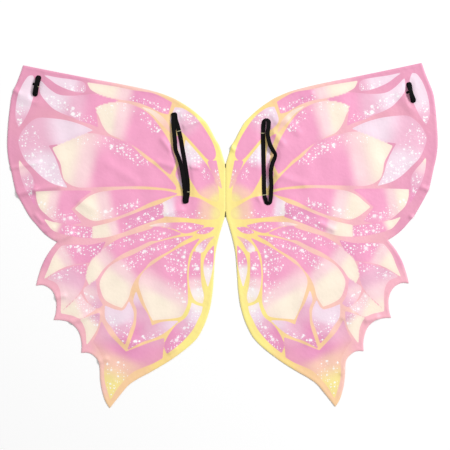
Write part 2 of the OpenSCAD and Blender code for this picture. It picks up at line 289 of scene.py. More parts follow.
      [(220, -262), (189, -245), (164, -237), (138, -223), (109, -198)], [(109, -198),
      (142, -200), (167, -209)], [(167, -209), (176, -183), (191, -158), (202, -130)]],
     [(202, -135, LILAC), (200, -175, MAUVE), (205, -225, ROSE), (165, -225, MAUVE),
      (115, -203, LILAC)],
     [(213, -252, 180, -236, 10, 0.9), (180, -236, 143, -226, 8, 0.8)]),
    ("corner_band",
     [[(77, -156), (66, -162), (54, -165)], [(54, -165), (57, -179), (64, -193), (79, -221),
      (104, -249), (133, -272)], [(133, -272), (138, -256), (131, -235), (113, -209), (91, -191),
      (82, -175), (77, -156)]],
     [(60, -168, WHITE), (72, -188, LILAC), (88, -212, MAUVE), (108, -238, ROSE),
      (130, -268, ROSE)],
     [(124, -262, 92, -222, 10, 0.9), (92, -222, 66, -184, 9, 0.8)]),
    ("long_window",
     [[(73, -37), (58, -41)], [(58, -41), (59, -72), (57, -110), (51, -140), (54, -156)],
      [(54, -156), (71, -147), (82, -114), (82, -72), (73, -37)]],
     [(66, -42, PINK), (66, -85, PINK), (64, -112, BLUSH), (62, -132, WHITE), (56, -152, CREAM)],
     [(69, -52, 64, -103, 8, 0.8), (64, -103, 57, -142, 7, 0.75)]),
    ("drop_window",
     [[(28, -24), (29, -61), (34, -91), (41, -117)], [(41, -117), (49, -86), (49, -61), (42, -41),
      (28, -24)]],
     [(29, -30, PINK), (36, -60, PINK), (40, -82, WHITE), (42, -112, WHITE)],
     [(37, -40, 34, -92, 7, 0.75)]),
    ("small_leaf",
     [[(27, -2), (48, -10), (64, -24), (68, -34), (57, -38), (50, -33), (41, -17), (27, -2)]],
     [(64, -32, WHITE), (50, -20, MAUVE), (32, -4, PEACH)],
     [(55, -26, 45, -14, 5, 0.6)]),
    ("upper_lens",
     [[(66, 7), (57, 14), (43, 19), (27, 18)], [(27, 18), (38, 9), (52, 5), (66, 7)]],
     [(64, 7, PINK), (30, 17, PINK)],
     [(60, 8, 31, 15, 5, 0.7)]),
    ("long_lens",
     [[(171, 24), (149, 29), (126, 30), (85, 30), (50, 23)], [(50, 23), (68, 13), (93, 7),
      (113, 16), (140, 23), (171, 24)]],
     [(168, 24, CREAM), (145, 26, BLUSH), (115, 22, PINK), (55, 22, PINK)],
     [(135, 23, 60, 21, 7, 0.7)]),
]

# Tints of the border and the veins, from the yellow middle out to the rose edges.
BUTTER, HONEY, APRICOT, SALMON, CORAL, BERRY = range(6)
VEIN_PALETTE = ("butter", "honey", "apricot", "salmon", "coral", "berry")
VEIN_TINTS = [
    (0, 100, BUTTER), (0, 40, BUTTER), (12, 0, BUTTER), (25, -60, BUTTER), (28, -120, BUTTER),
    (45, -190, BUTTER), (85, -245, BUTTER), (20, 200, BUTTER), (45, 250, BUTTER),
    (60, 275, BUTTER), (20, 130, BUTTER), (95, -175, BUTTER), (85, -120, HONEY),
    (88, 295, HONEY), (55, 130, HONEY), (55, 90, HONEY), (85, 110, HONEY), (65, -60, HONEY),
    (70, -5, HONEY), (150, -298, HONEY), (80, 45, HONEY), (90, 210, HONEY), (110, -195, HONEY),
    (125, 315, APRICOT), (150, 205, APRICOT), (145, 82, APRICOT), (150, 112, APRICOT),
    (120, -42, APRICOT), (205, -135, APRICOT), (150, -195, APRICOT), (200, -255, APRICOT),
    (240, -345, APRICOT), (262, -386, APRICOT), (130, 275, APRICOT), (120, 190, APRICOT),
    (190, -318, APRICOT), (145, 40, APRICOT), (230, -260, APRICOT),
    (180, 338, SALMON), (210, 222, SALMON), (235, 112, SALMON), (230, 40, SALMON),
    (220, 8, SALMON), (190, -34, SALMON), (225, -150, SALMON), (262, -192, SALMON),
    (276, -350, SALMON), (160, 26, SALMON), (240, 318, SALMON), (300, -185, SALMON),
    (290, -290, SALMON),
    (285, 362, CORAL), (290, 246, CORAL), (320, 110, CORAL), (330, 22, CORAL),
    (305, -18, CORAL), (300, -95, CORAL), (335, -205, CORAL), (400, -118, CORAL),
    (318, -260, CORAL), (290, -120, CORAL), (340, -64, CORAL), (370, -184, CORAL),
    (345, 372, BERRY), (450, 388, BERRY), (485, 320, BERRY), (494, 200, BERRY),
    (472, 100, BERRY), (425, 22, BERRY), (378, 210, BERRY), (430, 110, BERRY),
    (400, 350, BERRY), (310, 345, BERRY), (425, -90, CORAL), (420, -60, BERRY),
]

# Folds that the wings keep from their packet: start, end, height and half width, as they lie.
LEFT_FOLDS = [
    (-489, 157, -429, 169, 2.2, 5), (-472, 98, -436, 107, 5.4, 8), (-436, 107, -380, 114, 3.2, 7),
    (-434, 48, -420, 32, 2.9, 5), (-408, 11, -394, 20, 2.6, 5), (-378, -9, -352, 3, 3.5, 6),
    (-470, 325, -430, 311, 2.6, 12), (-482, 338, -474, 332, 2.9, 6), (-384, -143, -368, -139, 3.5, 6),
    (-350, -200, -289, -180, 3.2, 6), (-288, -293, -270, -286, 3.2, 6), (-140, 223, -121, 198, 2.9, 6),
    (-90, 253, -59, 267, 3.5, 7), (-76, 160, -57, 158, 2.9, 5), (-262, 165, -205, 128, 2.1, 12),
    (-123, -271, -110, -262, 2.9, 5), (-150, 170, -116, 160, 2.6, 8), (-300, 62, -330, 78, 1.9, 10),
    (-96, 62, -128, 52, 2.6, 8), (-200, -250, -262, -232, 1.9, 12),
]
RIGHT_FOLDS = [
    (190, 322, 206, 331, 2.9, 6), (226, 29, 256, 15, 3.5, 7), (438, 44, 450, 38, 3.2, 5),
    (336, -196, 358, -190, 4.2, 7), (280, -192, 300, -180, 2.9, 6), (14, 212, 26, 200, 3.5, 6),
    (84, 88, 96, 76, 3.2, 6), (128, 262, 150, 272, 2.6, 6), (150, 262, 176, 240, 2.4, 9),
    (112, 246, 140, 214, 2.6, 7), (410, 330, 440, 290, 2.2, 12), (150, 60, 240, 78, 1.9, 14),
    (300, 130, 360, 170, 1.9, 16), (200, -246, 250, -226, 2.1, 12), (130, 140, 190, 120, 2.1, 9),
    (464, 112, 486, 104, 2.6, 6), (276, -320, 284, -312, 2.6, 5),
]

# Elastic routes in each loop's own frame: across, along from the lower end, and for the free
# run the share of the arch's height. Both runs meet at the two ends of the loop.
LEFT_SEWN = [(0, 0), (6, 16), (10, 43), (10.5, 62), (10, 91), (9, 118), (7, 157), (0, 200)]
LEFT_FREE = [(-1, 0, 0), (1, 25, 0.3), (1.5, 52, 0.8), (1, 78, 1), (-2.5, 101, 1),
             (-7, 118, 1), (-5.5, 140, 0.8), (-4, 173, 0.4), (-1, 200, 0)]
RIGHT_SEWN = [(-6, 0), (-8.5, 12), (-10.5, 32), (-11, 70), (-12, 128), (-12.5, 155), (-12, 176),
              (-11.5, 190), (-11, 200)]
RIGHT_FREE = [(4, 0, 0), (5, 23, 0.3), (6, 46, 0.7), (5, 76, 1), (9, 96, 1), (16, 115, 1),
              (10, 125, 1), (2, 143, 0.9), (-2, 164, 0.7), (0, 178, 0.4), (2, 200, 0)]
FINGER_SEWN = [(0, 0), (0, 16), (0, 31), (0, 47)]
FINGER_FREE = [(0, 0, 0), (-0.5, 8, 0.7), (-1, 16, 1), (-1, 31, 1), (-0.5, 39, 0.7), (0, 47, 0)]


# --- Settings -------------------------------------------------------------------------------


def size_mm(name, description, default, low, high):
    """A length setting in millimetres."""
    return bpy.props.FloatProperty(
        name=name, description=description, default=default, min=low, max=high
    )


def colour_of(code):
    """Linear colour of a six-figure hex code."""
    parts = [int(code[i : i + 2], 16) / 255.0 for i in (0, 2, 4)]
    return tuple(p / 12.92 if p <= 0.04045 else ((p + 0.055) / 1.055) ** 2.4 for p in parts)


def colour_setting(name, description, code):
    """A colour setting whose default is given as a hex code."""
    return bpy.props.FloatVectorProperty(
        name=name, description=description, subtype="COLOR", size=3, min=0.0, max=1.0,
        default=colour_of(code),
    )


class SatinSettings(bpy.types.PropertyGroup):
    """Sizes of the printed satin wings."""

    grain: size_mm("Mesh grain", "Distance between the mesh points of the cloth, in mm", 3.3, 2.5, 8.0)
    hem_rise: size_mm("Hem rise", "Extra height over the turned-in seam allowance, in mm", 0.35, 0.0, 1.0)
    hem_width: size_mm("Hem width", "Width of the turned-in seam allowance, in mm", 6.0, 3.0, 10.0)
    wave: size_mm("Wave height", "Height of the soft waves in the lying cloth, in mm", 1.7, 0.0, 3.0)
    fold_share: bpy.props.FloatProperty(
        name="Fold height", description="Share of the packet folds that is still there",
        default=1.0, min=0.0, max=1.5, subtype="FACTOR",
    )
    lay_shift: size_mm("Seam shift", "How far the centre seam lies to the right, in mm", 7.0, -10.0, 10.0)
    lay_tilt: bpy.props.FloatProperty(
        name="Lay tilt", description="Rise of the right side over the left, per mm of width",
        default=0.0062, min=-0.02, max=0.02,
    )


class PrintSettings(bpy.types.PropertyGroup):
    """Colours of the print on the satin."""

    cream: colour_setting("Cream", "Outer ends of the petals", "FDF0DC")
    blush: colour_setting("Blush", "Between cream and pink", "FBD8DC")
    pink: colour_setting("Pink", "Main pink of the petals", "F4A5C8")
    rose: colour_setting("Rose", "Deepest pink", "EB9CC2")
    lilac: colour_setting("Lilac", "Pale petals at the shoulder corners", "F5DFEC")
    mauve: colour_setting("Mauve", "Between lilac and pink", "EEB9D0")
    peach: colour_setting("Peach", "Petals near the yellow middle", "F9CBB8")
    lemon: colour_setting("Lemon", "Yellow of the tail", "FAEA9A")
    petal_white: colour_setting("Petal white", "Palest ends of the inner petals", "FCF3F0")
    butter: colour_setting("Butter", "Veins in the middle", "FFF190")
    honey: colour_setting("Honey", "Veins next to the middle", "FCDF8E")
    apricot: colour_setting("Apricot", "Veins halfway out", "FAD19F")
    salmon: colour_setting("Salmon", "Veins further out", "F9C8BE")
    coral: colour_setting("Coral", "Veins near the edge", "F6B6C5")
    berry: colour_setting("Berry", "Border at the shoulder corners", "E69CBA")
    sparkle: colour_setting("Sparkle", "Printed dots", "FFFFFF")


class ElasticSettings(bpy.types.PropertyGroup):
    """Sizes of the elastic loops."""

    width: size_mm("Width", "Width of the flat elastic, in mm", 10.0, 6.0, 15.0)
    thickness: size_mm("Thickness", "Thickness of the flat elastic, in mm", 1.2, 0.6, 2.0)
    rib_depth: size_mm("Rib depth", "Depth of the grooves between the ribs, in mm", 0.14, 0.0, 0.4)
    arch: size_mm("Arch", "Rise of the free run above its ends, in mm", 5.2, 1.0, 8.0)
    ribs: bpy.props.IntProperty(
        name="Ribs", description="Number of ribs across the elastic", default=9, min=3, max=16
    )
    black: colour_setting("Black", "Colour of the elastic", "060506")


class ThreadSettings(bpy.types.PropertyGroup):
    """Sizes and colours of the sewing threads."""

    thickness: size_mm("Thickness", "Thickness of the sewing thread, in mm", 0.42, 0.2, 1.0)
    pale: colour_setting("Pale thread", "Seams and the tacks that hold the elastic", "F4EDBE")
    # The bar tacks' olive thread; its dark colour also carries painted shade in the two notches.
    dark: colour_setting("Dark thread", "Bar tacks at the two notches", "6E6A4E")


class StageSettings(bpy.types.PropertyGroup):
    """Floor, lights and camera."""

    floor: colour_setting("Floor", "Colour of the floor", "FFFFFF")
    sky: bpy.props.FloatProperty(
        name="Sky", description="Strength of the even light", default=0.42, min=0.0, max=2.0
    )
    key: bpy.props.FloatProperty(
        name="Key light", description="Power of the main soft light", default=640.0, min=0.0,
        max=2000.0, unit="POWER",
    )
    field: bpy.props.FloatProperty(
        name="Field of view", description="Width seen at the floor", default=1.04625, min=0.5,
        max=3.0, unit="LENGTH",
    )
    height: bpy.props.FloatProperty(
        name="Camera height", description="Height of the camera over the floor", default=2.5,
        min=1.0, max=6.0, unit="LENGTH",
    )


# --- Curves and outlines --------------------------------------------------------------------


def smoothstep(value, low, high):
    """Rises smoothly from 0 at low to 1 at high."""
    share = np.clip((np.asarray(value, float) - low) / (high - low), 0.0, 1.0)
    return share * share * (3.0 - 2.0 * share)


def smooth_route(points, steps):
    """Points of a smooth curve through the given ones, with both its ends."""
    points = np.asarray(points, float)
    placed = []
    for i in range(len(points) - 1):
        before = points[max(i - 1, 0)]
        start = points[i]
        end = points[i + 1]
        after = points[min(i + 2, len(points) - 1)]
        for t in np.arange(steps) / steps:
            placed.append(
                0.5 * (2 * start + (end - before) * t
                       + (2 * before - 5 * start + 4 * end - after) * t * t
                       + (3 * start - before - 3 * end + after) * t * t * t)
            )
    placed.append(points[-1])
    return np.array(placed)


def lengths_along(points):
    """Distance of each point from the first, along the line."""
    return np.concatenate([[0.0], np.cumsum(np.linalg.norm(np.diff(points, axis=0), axis=1))])


def even_steps(points, step):
    """The same line with points at even distances, both ends kept."""
    along = lengths_along(points)
    count = max(1, int(round(along[-1] / step)))
    places = np.linspace(0.0, along[-1], count + 1)
    return np.column_stack([np.interp(places, along, points[:, k]) for k in range(points.shape[1])])


def closed_outline(runs, steps, step):
    """A closed outline from runs that meet at sharp corners."""
    pieces = [even_steps(smooth_route(run, steps), step)[:-1] for run in runs]
    return np.vstack(pieces)


def edge_gap(points, outline):
    """Distance from each point to the nearest side of a closed outline."""
    starts = outline
    sides = np.roll(outline, -1, axis=0) - starts
    squares = np.maximum((sides * sides).sum(axis=1), 1e-9)
    gap = np.empty(len(points))
    for at in range(0, len(points), 1500):
        reach = points[at : at + 1500, None, :] - starts
        share = np.clip((reach * sides).sum(axis=2) / squares, 0.0, 1.0)
        miss = reach - share[:, :, None] * sides
        gap[at : at + 1500] = np.sqrt((miss * miss).sum(axis=2).min(axis=1))
    return gap


def is_inside(points, outline):
    """Whether each point is inside a closed outline."""
    inside = np.zeros(len(points), bool)
    ends = np.roll(outline, -1, axis=0)
    for (x0, y0), (x1, y1) in zip(outline, ends):
        if y0 == y1:
            continue
        spans = (points[:, 1] < y0) != (points[:, 1] < y1)
        crossing = x0 + (points[:, 1] - y0) * (x1 - x0) / (y1 - y0)
        inside ^= spans & (points[:, 0] < crossing)
    return inside


def inset_ring(outline, distance):
    """Points moved inwards from a clockwise outline, and which of them stay clear of its far sides."""
    sharpest = 0.35
    clear_share = 0.97
    before = outline - np.roll(outline, 1, axis=0)
    after = np.roll(outline, -1, axis=0) - outline
    before /= np.linalg.norm(before, axis=1)[:, None]
    after /= np.linalg.norm(after, axis=1)[:, None]
    inward = np.column_stack([before[:, 1] + after[:, 1], -before[:, 0] - after[:, 0]])
    inward /= np.maximum(np.linalg.norm(inward, axis=1), 1e-6)[:, None]
    turn = inward[:, 0] * before[:, 1] - inward[:, 1] * before[:, 0]
    moved = outline + inward * (distance / np.maximum(np.abs(turn), sharpest))[:, None]
    keep = edge_gap(moved, outline) > clear_share * distance
    return moved, keep


def wing_runs():
    """Runs of the half outline, with the straight stretch that is sewn to the other wing."""
    def scaled(points):
        return [(max(x * WIDEN, SEAM_EDGE), y * STRETCH) for x, y in points]

    top = [(SEAM_EDGE, SEAM_TOP)] + scaled(TOP_EDGE)
    inner = scaled(INNER_EDGE) + [(SEAM_EDGE, SEAM_BOTTOM)]
    seam = [(SEAM_EDGE, SEAM_BOTTOM), (SEAM_EDGE, SEAM_TOP)]
    return [top, scaled(OUTER_EDGE)] + [scaled(run) for run in SCALLOPS] + [inner, seam]


# Space between each wing's edge and the seam line, and how far in the cloth is drawn to it.
SEAM_CLEARANCE = 0.08
SEAM_PULL = 8.0
# Distance from the seam at which its shift to one side begins to fade, and where it has gone.
SHIFT_FADE = (30.0, 260.0)


def as_laid(points, mirrored, satin):
    """Where points of a flat right wing come to lie, on the side that they belong to."""
    side = -1.0 if mirrored else 1.0
    pulled = (SEAM_EDGE - SEAM_CLEARANCE) * (1.0 - smoothstep(points[:, 0], SEAM_EDGE, SEAM_PULL))
    x = (points[:, 0] - pulled) * side
    y = points[:, 1] + satin.lay_tilt * x
    x = x + satin.lay_shift * (1.0 - smoothstep(np.abs(x), *SHIFT_FADE))
    return np.column_stack([x, y])


# --- The flat cloth and its print -----------------------------------------------------------


class FlatWing:
    """One flat right wing: mesh points, triangles and what the print shows at each point."""

    # Distances from the edge: the outermost points, the rings inside them, and the even grid.
    RIM = 0.4
    RINGS = (1.5, 3.4, 5.6, 7.6, 10.0)
    GRID_START = 12.0
    # How far outside a petal its distance is still worked out.
    PRINT_REACH = 8.0
    # Side of the square cells in which near points are looked up.
    CELL = 4

    def __init__(self, satin, colours):
        runs = wing_runs()
        self.outline = closed_outline(runs, 8, satin.grain * 0.8)
        self.points, self.triangles, self.ring = self._triangulate(satin)
        self.gap = edge_gap(self.points, self.outline)
        self._print(colours)

    def _triangulate(self, satin):
        """Triangles over rings that follow the edge and an even grid inside them."""
        ring, _ = inset_ring(self.outline, self.RIM)
        chosen = [ring]
        taken = {}
        self._claim(ring, taken, 0.0)
        for distance in self.RINGS:
            moved, keep = inset_ring(self.outline, distance)
            chosen.append(self._claim(moved[keep], taken, satin.grain * 0.5))
        row = satin.grain * math.sqrt(0.75)
        rows = np.arange(WING_LOW[1], WING_HIGH[1], row)
        columns = np.arange(0.0, WING_HIGH[0], satin.grain)
        grid = np.array([(x + (k % 2) * satin.grain / 2, y) for k, y in enumerate(rows)
                         for x in columns])
        grid = grid[is_inside(grid, self.outline)]
        grid = grid[edge_gap(grid, self.outline) > self.GRID_START]
        chosen.append(grid)
        flat = np.vstack(chosen)
        count = len(ring)
        sides = [(i, (i + 1) % count) for i in range(count)]
        placed, _, triangles, sources, _, _ = geometry.delaunay_2d_cdt(
            [Vector(p) for p in flat], sides, [list(range(count))], 1, 1e-4
        )
        where = {}
        for now, olds in enumerate(sources):
            for old in olds:
                where[old] = now
        points = np.array([tuple(p) for p in placed])
        return points, np.array(triangles), np.array([where[i] for i in range(count)])

    def _claim(self, candidates, taken, clear):
        """The candidates that are not too near to points that were taken before."""
        kept = []
        for x, y in candidates:
            cell = (int(x // self.CELL), int(y // self.CELL))
            near = [q for i in (-1, 0, 1) for j in (-1, 0, 1)
                    for q in taken.get((cell[0] + i, cell[1] + j), ())]
            if all((x - a) ** 2 + (y - b) ** 2 > clear * clear for a, b in near):
                kept.append((x, y))
                taken.setdefault(cell, []).append((x, y))
        return np.array(kept).reshape(-1, 2)

    def _print(self, colours):
        """Distance into the nearest petal, the petal's tint, the vein's tint and the sparkles."""
        drawn = self.points / (WIDEN, STRETCH)
        count = len(drawn)
        self.depth = np.full(count, -self.PRINT_REACH)
        self.sparkle = np.zeros(count)
        palette = np.array([getattr(colours, name) for name in PALETTE])
        vein_palette = np.array([getattr(colours, name) for name in VEIN_PALETTE])
        self.vein_tint = blend_tints(drawn, VEIN_TINTS, vein_palette)
        self.petal_tint = self.vein_tint.copy()
        for _, runs, tints, sparkles in PETALS:
            outline = closed_outline(runs, 6, 3.0)
            low = outline.min(axis=0) - self.PRINT_REACH
            high = outline.max(axis=0) + self.PRINT_REACH
            near = np.flatnonzero(((drawn > low) & (drawn < high)).all(axis=1))
            spots = drawn[near]
            depth = edge_gap(spots, outline) * np.where(is_inside(spots, outline), 1.0, -1.0)
            better = depth > self.depth[near]
            own = near[better]
            self.depth[own] = depth[better]
            self.petal_tint[own] = tint_along(drawn[own], tints, palette)
            self.sparkle[own] = sparkle_amount(drawn[own], sparkles)


def blend_tints(points, tints, palette):
    """A colour for each point, from places of a known tint and how near they are."""
    soft = 16.0
    total = np.zeros((len(points), 3))
    weights = np.zeros(len(points))
    for x, y, tint in tints:
        square = (points[:, 0] - x) ** 2 + (points[:, 1] - y) ** 2
        weight = (square + soft * soft) ** -1.6
        total += weight[:, None] * palette[tint]
        weights += weight
    return total / weights[:, None]


def line_share(points, x0, y0, x1, y1):
    """Share along a straight stretch that is nearest to each point, and the distance to it."""
    start = np.array([x0, y0], float)
    side = np.array([x1, y1], float) - start
    share = np.clip(((points - start) @ side) / max(side @ side, 1e-9), 0.0, 1.0)
    return share, np.linalg.norm(points - start - share[:, None] * side, axis=1)


def line_gap(points, x0, y0, x1, y1):
    """Distance from each point to a straight stretch."""
    return line_share(points, x0, y0, x1, y1)[1]


def tint_along(points, stops, palette):
    """A colour for each point, from tints that follow one another along a line."""
    soft = 6.0
    total = np.zeros((len(points), 3))
    weights = np.zeros(len(points))
    for (x0, y0, first), (x1, y1, second) in zip(stops[:-1], stops[1:]):
        share, gap = line_share(points, x0, y0, x1, y1)
        share = smoothstep(share, 0.0, 1.0)[:, None]
        weight = (gap * gap + soft * soft) ** -3
        total += weight[:, None] * (palette[first] * (1.0 - share) + palette[second] * share)
        weights += weight
    return total / weights[:, None]


def sparkle_amount(points, rows):
    """How thickly the sparkles stand at each point."""
    amount = np.zeros(len(points))
    for x0, y0, x1, y1, reach, most in rows:
        near = 1.0 - smoothstep(line_gap(points, x0, y0, x1, y1), reach * 0.5, reach * 1.7)
        amount = np.maximum(amount, near * most)
    return amount


# --- How the cloth lies ---------------------------------------------------------------------


def loop_calm(points, loops):
    """0 beside the elastic, where the cloth is held down, and 1 away from it."""
    calm = np.ones(len(points))
    for loop in loops:
        for line in (loop.lower, loop.upper):
            path = line.points[::4, :2]
            for (x0, y0), (x1, y1) in zip(path[:-1], path[1:]):
                calm = np.minimum(calm, smoothstep(line_gap(points, x0, y0, x1, y1), 7.0, 15.0))
    return calm


# Soft waves of the lying cloth: height, turns per mm across and along, and share of the side's turn.
WAVES = [
    (1.0, 0.071, 0.042, 1.0), (1.0, 0.038, -0.083, 2.1), (0.7, 0.121, 0.017, 0.6),
    (0.6, -0.052, 0.139, 1.0), (0.5, 0.019, 0.024, 3.0),
]


def cloth_rise(laid, gap, mirrored, satin, loops):
    """Height of the upper layer over flat, from folds, soft waves and the puckered edge."""
    folds = LEFT_FOLDS if mirrored else RIGHT_FOLDS
    x = laid[:, 0]
    y = laid[:, 1]
    rise = np.zeros(len(laid))
    for x0, y0, x1, y1, height, half in folds:
        miss = line_gap(laid, x0, y0, x1, y1)
        rise += satin.fold_share * height * np.exp(-((miss / half) ** 2))
    turn = 1.7 if mirrored else 0.4
    waves = sum(high * np.sin(x * over + y * up + share * turn) for high, over, up, share in WAVES)
    rise += satin.wave * 0.28 * (waves + 2.2).clip(0.0, None) * (0.3 + 0.7 * smoothstep(gap, 2.0, 40.0))
    pucker = np.sin(x * 0.31 + 1.3 * np.sin(y * 0.043)) * np.sin(y * 0.27 + 1.1 * np.sin(x * 0.037))
    rise += 0.28 * (pucker + 1.0) * np.exp(-gap / 9.0) * smoothstep(gap, 0.0, 4.0)
    rise *= loop_calm(laid, loops)
    return rise * smoothstep(np.abs(x - satin.lay_shift), 1.0, 14.0)


def hem_bump(gap, satin):
    """The step where the turned-in seam allowance ends."""
    return satin.hem_rise * (1.0 - smoothstep(gap, satin.hem_width, satin.hem_width + 3.0)) * (
        0.55 + 0.45 * smoothstep(gap, 0.3, 2.4)
    )


# --- Making meshes --------------------------------------------------------------------------


def new_piece(name, points, faces, material, values=None, sharp=None):
    """A mesh object from points in millimetres, smooth, with named values at its points."""
    mesh = bpy.data.meshes.new(name)
    mesh.from_pydata((np.asarray(points, float) * MM).tolist(), [], faces)
    mesh.shade_smooth()
    if sharp is not None:
        mesh.set_sharp_from_angle(angle=math.radians(sharp))
    mesh.materials.append(material)
    kinds = {1: ("FLOAT", "value"), 3: ("FLOAT_VECTOR", "vector"), 4: ("FLOAT_COLOR", "color")}
    for key, data in (values or {}).items():
        data = np.asarray(data, np.float32)
        kind, field = kinds[1 if data.ndim == 1 else data.shape[1]]
        mesh.attributes.new(key, kind, "POINT").data.foreach_set(field, data.ravel())
    piece = bpy.data.objects.new(name, mesh)
    bpy.context.scene.collection.objects.link(piece)
    return piece


def with_alpha(colours):
    """Colours with a fourth, full component."""
    return np.column_stack([colours, np.ones(len(colours))])


def lay_bake_map(mesh, corner_places):
    """Gives the mesh a flat map, so that its surface opens out without overlaps."""
    layer = mesh.uv_layers.new(name="OFBake")
    layer.data.foreach_set("uv", np.asarray(corner_places, np.float32).ravel())


# --- Shaders --------------------------------------------------------------------------------


class Signal:
    """A number that comes out of a shader node and takes part in plain arithmetic."""

    def __init__(self, shade, socket):
        self.shade = shade
        self.socket = socket

    def _math(self, operation, *values):
        settings = {"operation": operation}
        inputs = dict(enumerate(values))
        return self.shade.signal("ShaderNodeMath", settings, inputs, 0)

    def __add__(self, other):
        return self._math("ADD", self, other)

    __radd__ = __add__

    def __sub__(self, other):
        return self._math("SUBTRACT", self, other)

    def __rsub__(self, other):
        return self._math("SUBTRACT", other, self)

    def __mul__(self, other):
        return self._math("MULTIPLY", self, other)

    __rmul__ = __mul__

    def __abs__(self):
        return self._math("ABSOLUTE", self)

    def sine(self):
        """Sine of the number."""
        return self._math("SINE", self)

    def fraction(self):
        """What is left of the number over a whole one."""
        return self._math("FRACT", self)

    def at_least(self, other):
        """The larger of two numbers."""
        return self._math("MAXIMUM", self, other)

    def rise(self, low, high):
        """0 below low, 1 above high and smooth between them."""
        settings = {"interpolation_type": "SMOOTHSTEP"}
        inputs = {"Value": self, "From Min": low, "From Max": high}
        return self.shade.signal("ShaderNodeMapRange", settings, inputs, "Result")


class Shade:
    """One material and its node tree."""

    def __init__(self, name):
        self.material = bpy.data.materials.new(name)
        self.material.use_nodes = True
        self.tree = self.material.node_tree
        self.tree.nodes.clear()

    def node(self, kind, settings, inputs):
        """A node with its settings made first, then the values or links of its sockets."""
        node = self.tree.nodes.new(kind)
        for key, value in settings.items():
            setattr(node, key, value)
        for key, value in inputs.items():
            if isinstance(key, str):
                socket = next(s for s in node.inputs if key in (s.identifier, s.name))
            else:
                socket = node.inputs[key]
            if isinstance(value, Signal):
                value = value.socket
            if isinstance(value, bpy.types.NodeSocket):
                self.tree.links.new(value, socket)
            else:
                socket.default_value = value
        return node

    def signal(self, kind, settings, inputs, output):
        """One output of a new node, ready for arithmetic."""
        return Signal(self, self.node(kind, settings, inputs).outputs[output])

    def stored(self, name, output="Fac"):
        """A value that the mesh carries at its points."""
        settings = {"attribute_name": name, "attribute_type": "GEOMETRY"}
        return self.signal("ShaderNodeAttribute", settings, {}, output)

    def mix(self, share, under, over, how="MIX"):
        """Two colours mixed by a share."""
        settings = {"data_type": "RGBA", "blend_type": how, "clamp_factor": True}
        inputs = {"Factor_Float": share, "A_Color": under, "B_Color": over}
        node = self.node("ShaderNodeMix", settings, inputs)
        return next(s for s in node.outputs if s.identifier == "Result_Color")

    def noise(self, place, scale, detail=2.0):
        """Soft random variation between 0 and 1."""
        inputs = {"Vector": place, "Scale": scale, "Detail": detail}
        return self.signal("ShaderNodeTexNoise", {}, inputs, 0)

    def bump(self, height, depth, below=None):
        """A normal that follows a height of 0 to 1, with its full depth in metres."""
        inputs = {"Height": height, "Distance": depth, "Strength": 1.0}
        if below is not None:
            inputs["Normal"] = below
        return self.node("ShaderNodeBump", {}, inputs).outputs[0]

    def surface(self, **inputs):
        """The surface itself and the material's output."""
        names = {key.replace("_", " "): value for key, value in inputs.items()}
        body = self.node("ShaderNodeBsdfPrincipled", {}, names)
        self.node("ShaderNodeOutputMaterial", {}, {"Surface": body.outputs[0]})
        return self.material


def solid(colour):
    """A colour with its alpha."""
    return (*tuple(colour)[:3], 1.0)


def along_cloth(shade):
    """The place on the flat cloth or band, as a vector and as its first two numbers."""
    cloth = shade.stored("cloth", "Vector").socket
    parts = shade.node("ShaderNodeSeparateXYZ", {}, {"Vector": cloth})
    return cloth, Signal(shade, parts.outputs[0]), Signal(shade, parts.outputs[1])


def printed_dots(shade, cloth, amount, spacing, small, large, soft):
    """Round printed dots, thicker where the amount is higher, with radii and soft rim in mm."""
    settings = {"voronoi_dimensions": "2D", "feature": "F1"}
    cells = shade.node("ShaderNodeTexVoronoi", settings, {"Vector": cloth, "Scale": 1.0 / spacing})
    away = Signal(shade, cells.outputs["Distance"]) * spacing
    pick = shade.node("ShaderNodeSeparateColor", {}, {"Color": cells.outputs["Color"]})
    chance, size, strength = (Signal(shade, s) for s in pick.outputs)
    radius = small + (large - small) * size * size
    there = (amount - chance).rise(0.0, 0.04)
    return (radius - away).rise(-soft, soft) * there * (0.7 + 0.3 * strength)


